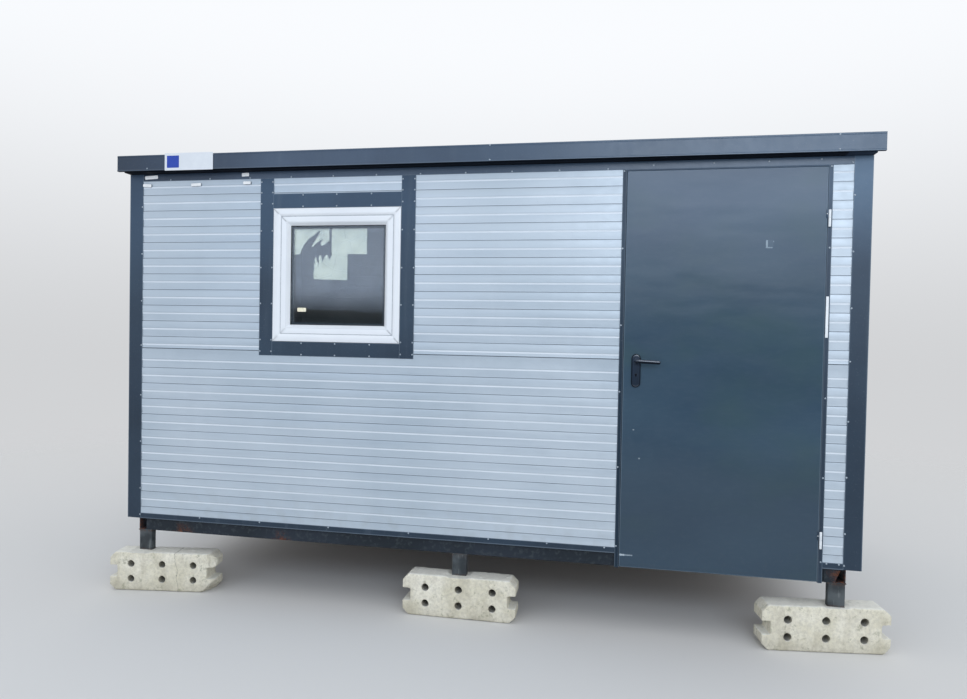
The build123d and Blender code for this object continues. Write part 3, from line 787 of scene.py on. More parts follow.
def corner_flashings():
    """An angle of sheet over each corner, hemmed and bent round it, with screws near its edges."""
    piece = Piece("corner_flashings_folded")
    back = CORNER_WIDTH - 0.0003
    arm = [(-back + HEM, UNDER), (-back, UNDER), (-back, OVER)]
    section = folded(arm + [(OVER, OVER)] + [(y, x) for x, y in arm[::-1]], 0.0022, 4)
    # Pale corner fold and hems: rub wear and painted highlight.
    wear = [0.9 if min(p) > -0.002 or abs(min(p) + back) < 0.002 else 0.0 for p in section]
    reach = CORNER_WIDTH - 0.006
    for sx in (-1, 1):
        for sy in (-1, 1):
            corner = Vector((sx * HALF, sy * -FRONT, 0))
            foot, head = corner + Z * BEAM_TOP, corner + Z * (WALL_TOP - 0.0005)
            piece.prism(section, foot, head, X * sx, Y * sy, TRIM, steps=14, warp=wavy(0.0005, 3.0, X * sx),
                        wear=wear)
            for rise in (0.023, 0.194, 0.497, 0.796, 1.117, 1.401, 1.702, 2.001):
                level = BEAM_TOP + rise
                screw(piece, corner + Vector((-sx * reach, sy * 0.002, level)), Y * sy)
                screw(piece, corner + Vector((sx * 0.002, -sy * reach, level - 0.004)), X * sx)
    piece.make("cabin", "trim_anthracite", "corner_flashings")


# The runs of the long flashings round the other sides: side, face and ends
OTHER_RUNS = [(SIDES["rear"], -FRONT, (-CORNER_X, CORNER_X)), (SIDES["left"], HALF, (-CORNER_Y, CORNER_Y)),
              (SIDES["right"], HALF, (-CORNER_Y, CORNER_Y))]


def bottom_flashings():
    """Flashing round the foot of the walls, with a drip edge turned under the panels."""
    piece = Piece("bottom_flashings_folded")
    drip = [(UNDER, LOW_TOP - HEM), (UNDER, LOW_TOP - 0.0003), (OVER, LOW_TOP - 0.0003),
            (OVER, BEAM_TOP + 0.006), (0.0042, BEAM_TOP + 0.0004), (0.0012, BEAM_TOP + 0.0004)]
    section = folded(drip, 0.0008, 2)
    # Pale top hem and drip: rub wear and painted highlight.
    wear = [0.8 if abs(p[1] - LOW_TOP) < 0.002 or p[0] > 0.003 else 0.0 for p in section]
    front = [(SIDES["front"], -FRONT, ends) for ends in ((-CORNER_X, TRIM_LEFT), (TRIM_RIGHT, CORNER_X))]
    for side, face, (start, end) in front + OTHER_RUNS:
        piece.run(section, side, face, (start, end), TRIM, SHEET_STRIDE, SHEET_WAVER, wear=wear)
        outward, along = side
        places = [start + 0.03 + (end - start - 0.06) * i / 7 for i in range(8)]
        if end - start < 0.3:
            places = [start + 0.02, end - 0.02]
        elif outward == -Y:
            places = [-1.688, -1.276, -0.82, -0.31, 0.176, 0.52, 0.847]
        for place in places:
            screw(piece, outward * (face + SEATED) + along * place + Z * (LOW_TOP - 0.006), outward)
    piece.make("cabin", "trim_anthracite", "bottom_flashings")


def top_flashings():
    """Flashing up to the eaves. The front's screws lie at uneven places of their own."""
    piece = Piece("top_flashings_folded")
    path = [(UNDER, HIGH_FOOT + HEM), (UNDER, HIGH_FOOT + 0.0003), (OVER, HIGH_FOOT + 0.0003),
            (OVER, WALL_TOP - 0.0006)]
    section = folded(path, 0.0008, 2)
    # Pale lower hem: rub wear and painted highlight.
    wear = [0.8 if abs(p[1] - HIGH_FOOT) < 0.002 else 0.0 for p in section]
    for side, face, (start, end) in [(SIDES["front"], -FRONT, (-CORNER_X, CORNER_X))] + OTHER_RUNS:
        piece.run(section, side, face, (start, end), FASCIA, SHEET_STRIDE, SHEET_WAVER, wear=wear)
        outward, along = side
        count = round((end - start) / 0.274)
        spots = [(start + 0.02 + (end - start - 0.04) * i / count, 0.007) for i in range(count + 1)]
        if outward == -Y:
            spots = [(-1.913 + 0.2735 * i, 0.007) for i in range(11)]
            spots += [(1.071, 0.022), (1.394, 0.026), (1.679, 0.027), (1.944, 0.032), (2.100, 0.012)]
        for place, rise in spots:
            screw(piece, outward * (face + SEATED) + along * place + Z * (HIGH_FOOT + rise), outward)
    piece.make("cabin", "trim_anthracite", "top_flashings")


BAND = 0.088  # width of the flashing round the window


def strip(piece, start, end):
    """A strip of the window's surround between two points, hemmed along both edges."""
    start, end = Vector(start), Vector(end)
    across = (end - start).normalized().cross(-Y)
    w = BAND / 2
    path = [(-w + HEM, UNDER), (-w, UNDER), (-w, OVER), (w, OVER), (w, UNDER), (w - HEM, UNDER)]
    section = folded(path, 0.0006, 2)
    # Pale hemmed edges: rub wear and painted highlight.
    wear = [0.8 if abs(abs(p[0]) - w) < 0.0022 else 0.0 for p in section]
    steps = max(2, round((end - start).length / 0.2))
    piece.prism(section, start, end, across, -Y, TRIM, steps, warp=wavy(0.0003, 5.0, -Y), wear=wear)


def window_surround():
    """Strips round the window: two uprights to the top flashing, and a head and a sill between them."""
    piece = Piece("window_surround_folded")
    foot = WIN_LOW.z - BAND
    screw_face = FRONT - SEATED
    for x in (WIN_LOW.x - BAND / 2, WIN_HIGH.x + BAND / 2):
        strip(piece, (x, FRONT, foot), (x, FRONT, HIGH_FOOT - 0.0005))
        for level in (0.025, 0.097, 0.321, 0.543, 0.769, 0.936, 1.005, 1.07):
            for offset in (BAND / 2 - 0.007, 0.007 - BAND / 2):
                screw(piece, (x + offset, screw_face, foot + level), -Y)
    for z in (WIN_LOW.z - BAND / 2, WIN_HIGH.z + BAND / 2):
        strip(piece, (WIN_LOW.x + 0.0006, FRONT, z), (WIN_HIGH.x - 0.0006, FRONT, z))
        for place in (0.193, 0.411, 0.632):
            for offset in (BAND / 2 - 0.009, 0.009 - BAND / 2):
                screw(piece, (WIN_LOW.x + place, screw_face, z + offset), -Y)
    piece.make("cabin", "trim_anthracite", "window_surround")


corner_flashings()
bottom_flashings()
top_flashings()
window_surround()


# Eaves: fascia boards, the sign on the front one, and small pads stuck under it
FASCIA_SEAM = 0.149  # where the front board's two lengths meet
LAP = 0.0009  # how far the second length stands out from the first
BOARD_STRIDE, BOARD_WAVER = 0.18, (0.0008, 2.6)


def board_section(t, h):
    """Section of a fascia board from its lower inner edge, t thick and h high, with a lip at each edge."""
    path = [(0, 0), (t - 0.001, 0), (t, 0.001), (t, 0.007), (t - 0.0018, 0.0095), (t - 0.0018, h - 0.012),
            (t - 0.001, h - 0.009), (t - 0.001, h - 0.003), (t - 0.0035, h), (0, h)]
    return edged(eased(path, 0.0012, segments=2))


def fascia_board(node, side, seam=None):
    """A boxed board of folded sheet in place of its node, in two lengths where there is a seam."""
    outward, along = SIDES[side]
    lowest, highest = low(node), high(node)
    near, far = sorted((lowest.dot(outward), highest.dot(outward)))
    start, end = sorted((lowest.dot(along), highest.dot(along)))
    h = highest.z - lowest.z
    section = board_section(far - near, h)
    # Pale upper and lower edges: rub wear and painted highlight.
    wear = [0.7 if p[1] < 0.003 or p[1] > h - 0.003 else 0.0 for p in section]
    # The underside of the board is painted near black as painted shade.
    paint = [SHADE if max(p[1], q[1]) < 0.0012 else FASCIA for p, q in edges(section)]
    piece = Piece(node + "_folded")
    for a, b, lift in [(start, end, 0.0)] if seam is None else [(start, seam, 0.0), (seam, end, LAP)]:
        piece.run(section, SIDES[side], near + lift, (a, b), paint, BOARD_STRIDE, BOARD_WAVER, lowest.z,
                  wear=wear)
    spots = [(place, 0.013) for place in (start + 0.2, (start + end) / 2, end - 0.2)]
    if seam is not None:
        spots = [(start + 0.21, 0.013), (end - 0.226, 0.013)]
    spots.append((end - 0.226, h - 0.008))
    if seam is not None:
        spots += [(seam + 0.008, 0.008), (seam + 0.008, 0.092)]
    for place, rise in spots:
        screw(piece, outward * (far - 0.0018 + LAP) + along * place + Z * (lowest.z + rise), outward)
    piece.make("cabin", "trim_anthracite", node)


SIGN_FIELD = (0.016, 0.099, 0.016, 0.091)  # blue field: left, right, foot and head from the plate's corner


def sign():
    """A thin plate with rounded corners, bare but for a plain blue field."""
    lowest, highest = low("sign_plate"), high("sign_plate")
    width, height = highest.x - lowest.x, highest.z - lowest.z
    middle = (lowest + highest) / 2
    centre = Vector((middle.x, lowest.y, middle.z))
    piece = Piece("sign_plate_rounded")
    thick = highest.y - lowest.y
    outlines = [(rise, rectangle(width - 2 * inset, height - 2 * inset, 0.004))
                for rise, inset in ((-thick, 0.0), (-0.0006, 0.0), (0.0, 0.0006))]
    piece.plate(centre, outlines, -Y, SIGN)
    left, right, foot, head = SIGN_FIELD
    outline = rectangle(right - left, head - foot, 0.003)
    centre = Vector((lowest.x + (left + right) / 2, lowest.y, lowest.z + (foot + head) / 2))
    piece.plate(centre, [(0.0, outline), (0.0002, outline)], -Y, BLUE)
    piece.make("cabin", "sign_white", "sign_plate")


# Adhesive pads: left and right edge and height of the middle from the origin, and whether on the flashing
PADS = [(-2.095, -2.004, 2.640, True), (-1.422, -1.373, 2.643, True), (-2.105, -2.046, 2.588, False),
        (-1.766, -1.697, 2.587, False), (-1.409, -1.358, 2.591, False)]


def pads():
    """Foam pads, a little askew: thin ones on the top flashing, and thicker ones on the panel under it, their
    sides painted grey as painted shade.
    """
    piece = Piece("adhesive_pads")
    for left, right, level, on_flashing in PADS:
        face = FRONT - (SEATED if on_flashing else 0.0)
        askew = Matrix.Rotation(dice.uniform(-0.05, 0.05), 3, "Y")
        tall, thick = (0.022, 0.0018) if on_flashing else (0.018, 0.0095)
        outline = rectangle(right - left, tall, 0.005)
        centre = Vector(((left + right) / 2, face, level))
        rings = []
        for depth, share in ((0.0004, 1.0), (0.0006 - thick, 1.0), (-thick, 0.97)):
            rings.append([centre + askew @ Vector((p.x * share, depth, p.y * share)) for p in outline])
        # The pad's sides carry painted shade, its face is white.
        piece.loft(rings, [PAD_EDGE_SHADE] * len(outline) + [PAD_FACE] * (len(outline) + 2))
    piece.make("cabin", "white_plastic")


fascia_board("fascia_front", "front", seam=FASCIA_SEAM)
for side in ("left", "right", "rear"):
    fascia_board("fascia_" + side, side)
sign()
pads()


# Window
FACE = WIN_LOW.y
SASH_FACE = low("window_sash").y
PANE, PANE_BACK = low("window_glass").y, high("window_glass").y
SASH_INSET = (low("window_sash") - WIN_LOW).x
PANE_INSET = (low("window_glass") - WIN_LOW).x
SHEET_OF_GLASS = 0.004
WELD_SUNK = 0.0001  # how deep a frame's corner weld lies
WELD_REACH = 0.002  # from the middle of the weld to its edges


def mitred(piece, section, paint, dirt_and_shade=None, sunk=0.0):
    """A frame round the window from a section of inset and depth, with a fine weld across each corner, and
    painted shade where a list for the section gives it.
    """
    centre, half = (WIN_LOW + WIN_HIGH) / 2, (WIN_HIGH - WIN_LOW) / 2
    rings, marks = [], []
    for sx, sz in ((-1, -1), (1, -1), (1, 1), (-1, 1)):
        shifts = [(0, -sz * WELD_REACH), (0, 0), (-sx * WELD_REACH, 0)]
        if sx == sz:
            shifts.reverse()
        for step, (dx, dz) in enumerate(shifts):
            ring = []
            for i, (inset, y) in enumerate(section):
                depth = y + (sunk if step == 1 and y < FACE + 0.04 else 0.0)
                x = centre.x + sx * (half.x - inset) + dx
                z = centre.z + sz * (half.z - inset) + dz
                ring.append(Vector((x, depth, z)))
                marks.append(max(0.07 if step == 1 else 0.0, dirt_and_shade[i] if dirt_and_shade else 0.0))
            rings.append(ring)
    piece.loft(rings, paint, closed=True, grime=marks)


def window_frame():
    """Fixed frame of plastic profile, with painted shade on its inner chamfer."""
    back = high("window_frame").y
    face = [(0.0, 0.001), (0.0004, 0.0003), (0.0012, 0.0), (0.0335, 0.0), (0.0348, 0.0006), (0.0446, 0.0072),
            (0.0456, 0.0086), (0.046, 0.011)]
    piece = Piece("window_frame_profiled")
    mitred(piece, [(0.0, back), *shifted(face, 0.0, FACE), (0.046, back)], PVC, [0.0] * 7 + [0.05, 0.5, 0.9],
           WELD_SUNK)
    piece.make("cabin", "white_pvc", "window_frame")


def window_gaskets():
    """Grey seal round the sash and black rubber round the pane."""
    piece = Piece("window_gaskets")
    outer = [(-0.001, 0.004), (-0.0005, 0.0005), (0.0022, -0.0003), (0.0034, 0.0008), (0.0034, 0.004)]
    inner = [(-0.0034, 0.001), (-0.0034, -0.0046), (-0.0020, -0.0043), (0.0, -0.0008), (0.0, 0.001)]
    mitred(piece, shifted(outer, SASH_INSET, SASH_FACE), SEAL)
    mitred(piece, shifted(inner, PANE_INSET, PANE), RUBBER)
    piece.make("cabin", "handle_black")


def window_sash():
    """Sash of plastic profile with its glazing bead, and painted shade along its steps and beside the bead.
    """
    back = high("window_sash").y
    face = [(0.0, 0.004), (0.0028, 0.004), (0.003, 0.0008), (0.0038, 0.0), (0.034, 0.0), (0.0352, 0.0005),
            (0.0358, 0.0018), (0.0368, 0.0018), (0.0378, 0.0008), (0.0392, 0.001)]
    bead = [(-0.0042, -0.0066), (-0.0032, -0.0046), (-0.0028, 0.0), (0.0, 0.001)]
    section = [(SASH_INSET, back), *shifted(face, SASH_INSET, SASH_FACE), *shifted(bead, PANE_INSET, PANE),
               (PANE_INSET, back)]
    dirt_and_shade = [0, 0.9, 0.9, 0.3, 0, 0, 0, 0.3, 0.3, 0, 0, 0, 0.3, 0.9, 0.9, 0]
    piece = Piece("window_sash_profiled")
    mitred(piece, section, PVC, dirt_and_shade, WELD_SUNK)
    piece.make("cabin", "white_pvc", "window_sash")


def window_pane():
    """Two panes of glass with a spacer bar between them."""
    piece = Piece("window_double_pane")
    inset = Vector((PANE_INSET, 0, PANE_INSET))
    gap, gap_end = PANE + SHEET_OF_GLASS, PANE_BACK - SHEET_OF_GLASS
    (left, foot), (right, head) = (WIN_LOW + inset).xz, (WIN_HIGH - inset).xz
    for y in (PANE, gap_end):
        piece.block((left, y, foot), (right, y + SHEET_OF_GLASS, head), GLASS, 0.0004, segments=1)
    bar = [(0.0002, gap), (0.0115, gap), (0.0115, gap_end), (0.0002, gap_end)]
    mitred(piece, shifted(bar, PANE_INSET), SPACER)
    piece.make("cabin", "window_glass", "window_glass")


# Remains of paper as outlines in shares of a sheet's width and height, from its lower left corner
WHOLE_SHEET = [(0, 0), (0.5, 0.01), (1, 0), (0.995, 0.5), (1, 1), (0, 1)]
TORN_SHEET = [(0, 0), (0.156, 0.014), (0.197, 0.18), (0.28, 0.389), (0.394, 0.569), (0.508, 0.68),
              (0.602, 0.778), (0.705, 0.88), (0.73, 0.847), (0.695, 0.722), (0.643, 0.625), (0.57, 0.472),
              (0.494, 0.306), (0.535, 0.286), (0.622, 0.417), (0.726, 0.519), (0.826, 0.589), (0.793, 0.514),
              (0.747, 0.417), (0.788, 0.314), (0.871, 0.381), (0.975, 0.486), (1, 0.49), (1, 1), (0, 1)]
FRAYED_SHEET = [(0.021, 0.034), (1, 0), (1, 1), (0.56, 0.99), (0.47, 0.76), (0.41, 0.96), (0.355, 0.95),
                (0.27, 0.68), (0.235, 0.93), (0.165, 0.92), (0.155, 0.52), (0.085, 0.87), (0.03, 0.8),
                (0.07, 0.54), (0.0, 0.72), (0.036, 0.42), (0.0, 0.28)]
# Each paper's left, right, foot and head from the origin, and its outline
PAPERS = [(-1.089, -0.862, 2.153, 2.319, TORN_SHEET), (-0.846, -0.617, 2.154, 2.317, WHOLE_SHEET),
          (-0.965, -0.742, 1.995, 2.158, FRAYED_SHEET)]
LABEL = (-1.0275, 1.81)  # middle of the small label


def papers():
    """Remains of paper with torn edges on the room's side of the pane, and a small label outside."""
    piece = Piece("window_papers")
    for i, (left, right, foot, head, sheet) in enumerate(PAPERS):
        outline = []
        for a, b in edges(sheet):
            for step in range(5):
                u, v = Vector(a).lerp(Vector(b), step / 5)
                torn = 0.0008 * noise.noise(Vector((u * 31, v * 31, i * 7.0)))
                outline.append((left + (right - left) * u + torn, foot + (head - foot) * v + torn))
        y = PANE_BACK + 0.0004 * (i + 1)
        piece.prism(outline, Y * y, Y * (y + 0.0002), X, Z, PAPER)
    label = shifted(rectangle(0.057, 0.024, 0.004), *LABEL)
    piece.prism(label, Y * (PANE - 0.0004), Y * (PANE + 0.0001), X, Z, PAPER)
    piece.make("cabin", "sign_white")


def window_lining():
    """Thin boards that line the opening on the room's side."""
    piece = Piece("window_lining")
    y0, y1 = high("window_frame").y, INSIDE + 0.002
    t = 0.004
    for z in (WIN_LOW.z, WIN_HIGH.z - t):
        piece.block((WIN_LOW.x, y0, z), (WIN_HIGH.x, y1, z + t), LINING)
    for x in (WIN_LOW.x, WIN_HIGH.x - t):
        piece.block((x, y0, WIN_LOW.z + t), (x + t, y1, WIN_HIGH.z - t), LINING)
    piece.make("cabin", "white_pvc")


window_frame()
window_gaskets()
window_sash()
window_pane()
papers()
window_lining()


# Door
JAMB_STOP = -1.182  # where the frame turns in behind the leaf's outer plate
PLATE_BACK = LEAF_LOW.y + 0.02
GAP = 0.005  # between the leaf and its frame
REVEAL = 0.03
HEAD = LEAF_HIGH.z + GAP
FRAME_LAP = 0.014
LEDGE = 0.003  # lip of the frame beside the leaf's edge: how far it stands out, and how thick it is
FRAME_BEND = 0.0014
# Each jamb: outer edge, edge beside the leaf, inward sign, paint, place of its screws and their levels
# The left jamb takes the trim with more painted shade.
JAMBS = [(TRIM_LEFT, LEAF_LOW.x - GAP, 1, TRIM_SHADED, 0.0068, (2.608, 2.175, 1.744, 1.369, 0.942, 0.493)),
         (TRIM_RIGHT, LEAF_HIGH.x + GAP, -1, TRIM, 0.0095, (2.609, 2.175, 1.369, 0.940, 0.486))]


def door_frame():
    """Two jambs and a head of folded sheet, with a seal on the stop and screws through the trims."""
    piece = Piece("door_frame_folded")
    face = low("door_frame").y
    for trim, inner, sign, paint, screw_inset, levels in JAMBS:
        wall, lip, reveal = trim + sign * FRAME_LAP, inner + sign * LEDGE, inner + sign * REVEAL
        jamb = [(trim, face), (lip, face), (lip, face + LEDGE), (inner, face + LEDGE), (inner, JAMB_STOP),
                (reveal, JAMB_STOP), (reveal, INSIDE), (wall, INSIDE), (wall, FRONT), (trim, FRONT)]
        foot = [(trim, face), (lip, face), (lip, BEAM_FACE), (trim, BEAM_FACE)]
        for outline, bottom, top, steps, warp in ((jamb, BEAM_TOP, HIGH_FOOT, 14, wavy(0.0004, 3.0, Y)),
                                                  (foot, BEAM_BOTTOM, BEAM_TOP, 2, None)):
            section = edged(eased(outline, FRAME_BEND))
            wear = [0.0] * len(section)
            # Pale lips beside the trim's edge and the leaf: rub wear and painted highlight.
            for i, p in enumerate(section):
                if p.y < face + 0.0012 and min(abs(p.x - trim), abs(p.x - inner)) < 0.0018:
                    wear[i] = 0.8
            piece.prism(section, Z * bottom, Z * top, X, Y, paint, steps=steps, warp=warp, wear=wear)
        seal = eased([(0, 0), (0.004, -0.0048), (0.011, -0.0048), (0.013, 0)], 0.002)
        seal = [(inner + sign * (0.009 + p.x), JAMB_STOP + p.y + 0.0003) for p in seal]
        piece.prism(seal, Z * (BEAM_TOP + 0.03), Z * (HEAD - REVEAL + 0.01), X, Y, RUBBER)
        for level in levels:
            screw(piece, (trim + sign * screw_inset, face, level), -Y)
    head = [(FRONT, HEAD - LEDGE), (FRONT + LEDGE, HEAD - LEDGE), (FRONT + LEDGE, HEAD), (JAMB_STOP, HEAD),
            (JAMB_STOP, HEAD - REVEAL), (INSIDE, HEAD - REVEAL), (INSIDE, HEAD + FRAME_LAP),
            (FRONT, HEAD + FRAME_LAP)]
    left, right = TRIM_LEFT + FRAME_LAP, TRIM_RIGHT - FRAME_LAP
    piece.prism(eased(head, FRAME_BEND), X * left, X * right, Y, Z, TRIM, steps=6)
    piece.make("cabin", "trim_anthracite", "door_frame")


def threshold():
    """A ribbed threshold with a rounded nose."""
    lowest, highest = low("door_threshold"), high("door_threshold")
    top = highest.z
    section = [(lowest.y, lowest.z), (lowest.y, top - 0.004), (lowest.y + 0.001, top - 0.001),
               (lowest.y + 0.004, top)]
    grooves = 6
    for i in range(grooves):
        y = lowest.y + 0.012 + (highest.y - lowest.y - 0.024) * i / grooves
        section += [(y, top), (y + 0.001, top - 0.0012), (y + 0.005, top - 0.0012), (y + 0.006, top)]
    section += [(highest.y, top), (highest.y, lowest.z)]
    piece = Piece("door_threshold_ribbed")
    piece.prism(section, X * lowest.x, X * highest.x, Y, Z, ZINC, steps=2)
    piece.make("cabin", "zinc", "door_threshold", sharp=25.0)


AXIS_X = (low("handle_plate_outside").x + high("handle_plate_outside").x) / 2
LEVER_Z = (LEVER_LOW.z + LEVER_HIGH.z) / 2
LOCK_Z = (low("lock_cylinder").z + high("lock_cylinder").z) / 2


def leaf_wear(p):
    """Pale marks round the edge of the leaf's outer face: rub wear and painted highlight."""
    side = min(p.x - LEAF_LOW.x, LEAF_HIGH.x - p.x, p.z - LEAF_LOW.z, LEAF_HIGH.z - p.z)
    return 0.85 if side < 0.0026 and p.y < LEAF_LOW.y + 0.004 else 0.0


def door_leaf():
    """Outer plate with folded edges, insulated core with the inner sheet, and the lock's forend."""
    piece = Piece("door_leaf_folded")
    plate_high = Vector((LEAF_HIGH.x, PLATE_BACK, LEAF_HIGH.z))
    piece.block(LEAF_LOW, plate_high, DOOR_OUT, 0.0022, segments=3, cuts=(14, 1, 30), margin=0.005,
                warp=wavy(0.0011, Vector((1.7, 1.0, 1.1)), Y), wear=leaf_wear)
    core_low = Vector((LEAF_LOW.x + REVEAL, PLATE_BACK - 0.001, FLOOR + GAP))
    core_high = Vector((LEAF_HIGH.x - REVEAL, LEAF_HIGH.y, HEAD - REVEAL - GAP))
    piece.block(core_low, core_high, DOOR_IN, 0.002, segments=3, cuts=(6, 1, 12), warp=wavy(0.0006, 1.3, Y))
    centre = Vector((core_low.x, (PLATE_BACK + LEAF_HIGH.y) / 2, LOCK_Z + 0.03))
    outline = rectangle(0.022, 0.24, 0.003)
    piece.plate(centre, [(-0.001, outline), (0.0008, outline), (0.0012, outline)], -X, ZINC)
    for level, width, height in ((0.06, 0.012, 0.03), (-0.03, 0.014, 0.034)):
        outline = rectangle(width, height, 0.002)
        piece.plate(centre + Z * level, [(0.0, outline), (0.0026, outline), (0.003, outline)], -X, ZINC)
    for level in (0.108, -0.108):
        screw(piece, centre + Vector((-0.0008, 0, level)), -X, 0.0032, ZINC)
    piece.make("door", "door_paint", "door_leaf")


def stadium(width, height, inset, segments=14):
    """An upright outline with round ends, about the origin."""
    r = width / 2 - inset
    rise = height / 2 - width / 2
    points = []
    for end in (1, -1):
        for i in range(segments + 1):
            a = math.pi * i / segments
            points.append(Vector((end * r * math.cos(a), end * (rise + r * math.sin(a)))))
    return points


# The crowned face of a handle plate: shares of its thickness, and insets from its edge
CROWN = [(0.0, 0.0), (0.55, 0.0), (0.72, 0.0006), (0.86, 0.0022), (0.95, 0.0048), (1.0, 0.009)]
BOSS_RADIUS = 0.0098
ROUND = 28  # segments of a turned part that is seen close by


def handle_plate(node, outward):
    """A long plate with a crowned face, a collar round the lever and a low boss for the lock; its rim is
    painted near black as painted shade.
    """
    lowest, highest = low(node), high(node)
    middle = (lowest + highest) / 2
    size = highest - lowest
    seat = Vector((middle.x, lowest.y if outward.y > 0 else highest.y, middle.z))
    outlines = [(size.y * share, stadium(size.x, size.z, inset)) for share, inset in CROWN]
    count = len(outlines[0][1])
    piece = Piece(node + "_crowned")
    # The first four bands of the crown, the rim, are painted shade.
    piece.plate(seat, outlines, outward, [SHADE] * count * 4 + [HANDLE] * (count + 2))
    face = Vector((AXIS_X, seat.y + outward.y * size.y, 0))
    collar = [(0.0135, -0.001), (0.0135, 0.0004), (0.0128, 0.0012), (0.0102, 0.0014)]
    piece.turn(collar, face + Z * LEVER_Z, outward, HANDLE, ROUND)
    boss = []
    for degrees in range(-60, 241, 15):
        a = math.radians(degrees)
        boss.append((-BOSS_RADIUS * math.cos(a), BOSS_RADIUS * math.sin(a)))
    boss += [(0.0052, -0.024), (-0.0052, -0.024)]
    middle = face + Z * LOCK_Z
    piece.prism(boss, middle - outward * 0.001, middle + outward * 0.0003, X, Z, HANDLE)
    piece.make("door", "handle_black", node)


def lock_cylinder():
    """A round cylinder with a raised rim and, at both ends, a narrow upright keyway: a near black block and
    disc that stand a little proud as painted shade for the slot.
    """
    lowest, highest = low("lock_cylinder"), high("lock_cylinder")
    radius = (highest.x - lowest.x) / 2
    length = highest.y - lowest.y
    piece = Piece("lock_cylinder_keyed")
    profile = [(radius - 0.0008, 0), (radius, 0.0006), (radius, length - 0.0006), (radius - 0.0008, length)]
    piece.turn(profile, Vector((AXIS_X, lowest.y, LOCK_Z)), Y, HANDLE, ROUND)
    keyway = Vector((-0.0034, -0.0003, -0.0084)), Vector((0.0034, 0.0003, 0.0020))
    for y, outward in ((lowest.y, -Y), (highest.y, Y)):
        spot = Vector((AXIS_X, y, LOCK_Z))
        # Painted shade for the key slot.
        piece.block(spot + keyway[0], spot + keyway[1], SHADE, 0.0001)
        piece.turn([(0.0062, -0.0003), (0.0062, 0.0003)], spot + Z * 0.0018, outward, SHADE)
    piece.make("door", "handle_black", "lock_cylinder")


NECK = 0.0165  # thickness of a lever's round neck
GRIP_DEPTH, GRIP_HEIGHT = 0.0135, 0.0212
GRIP_BEND = 0.013
DROOP = math.tan(math.radians(2.4))


def lever_path(face, grip, outward):
    """Middle line of a lever: out of its plate, round a bend and along the leaf, sloping to its tip."""
    path = [Vector((AXIS_X, face + outward * rise, LEVER_Z)) for rise in (0.0008, 0.0088)]
    turn = Vector((AXIS_X + GRIP_BEND, grip - outward * GRIP_BEND, LEVER_Z))
    for i in range(7):
        a = math.pi / 2 * i / 6
        path.append(turn + GRIP_BEND * Vector((-math.cos(a), outward * math.sin(a), 0)))
    bent = path[-1].x
    length = LEVER_HIGH.x - 0.001 - bent
    for run in [length * i / 7 for i in range(1, 7)] + [length - 0.007, length - 0.0025, length]:
        path.append(Vector((bent + run, grip, LEVER_Z - run * DROOP)))
    return path


def lever_handles():
    """A lever on each side: a round neck that bends into a flat grip, with a rounded tip; the lower half and
    the tip are painted near black as painted shade.
    """
    piece = Piece("lever_handles")
    for outward, face, grip in ((-1, high("handle_plate_outside").y - 0.01, LEVER_LOW.y + 0.007),
                                (1, low("handle_plate_inside").y + 0.01, LEVER_HIGH.y - 0.007)):
        path = lever_path(face, grip, outward)
        count = len(path) - 1
        ending = {count: 0.45, count - 1: 0.8}

        def section(share):
            k = round(share * count)
            flat = min(1.0, max(0.0, (k - 2) / 6))
            depth = (NECK + (GRIP_DEPTH - NECK) * flat) * ending.get(k, 1.0)
            tall = (NECK + (GRIP_HEIGHT - NECK) * flat) * ending.get(k, 1.0)
            return [Vector((p.x * depth / 2, p.y * tall / 2)) for p in circle(1.0, 24)]

        # The lower half and tip take the near black painted shade.
        piece.sweep(path, section, Z, HANDLE, SHADE)
    spindle = 0.004
    piece.block((AXIS_X - spindle, low("handle_plate_outside").y, LEVER_Z - spindle),
                (AXIS_X + spindle, high("handle_plate_inside").y, LEVER_Z + spindle), ZINC, 0.0005)
    piece.make("lever", "handle_black", "lever_set", sharp=40.0)


BARREL = 0.0066
BARREL_SEAT = 0.0075  # from a barrel's axis to the edge of its node
PIN_RADIUS, PIN_HEIGHT = 0.0038, 0.092
KNUCKLE = 0.0455  # height of half a barrel
STRAP = 0.007  # how far a hinge's strap reaches onto the leaf
# Half a barrel from its domed end: radius as a share of the barrel's, and height
HALF_BARREL = [(0.35, 0), (0.82, 0.0004), (0.97, 0.002), (1.0, 0.004), (1.0, KNUCKLE - 0.002),
               (0.96, KNUCKLE - 0.0006), (0.9, KNUCKLE)]
HINGE_AXIS = low("hinge_pins") + Vector((BARREL_SEAT, BARREL_SEAT, 0))


def hinge_pins():
    """The lower halves of the barrels, each with its pin, on the trim."""
    piece = Piece("hinge_pins_turned")
    x, y = HINGE_AXIS.xy
    profile = [(BARREL * share, height) for share, height in HALF_BARREL]
    for bottom in (low("hinge_pins").z, high("hinge_pins").z - PIN_HEIGHT):
        top = bottom + KNUCKLE
        piece.turn(profile, (x, y, bottom), Z, WHITE, ROUND)
        piece.block((x, y, bottom), (x + BARREL_SEAT, low("door_frame").y, top), TRIM, 0.0008)
        piece.turn([(PIN_RADIUS, 0), (PIN_RADIUS, KNUCKLE)], (x, y, top - 0.001), Z, ZINC, segments=20)
    piece.make("cabin", "white_plastic", "hinge_pins")


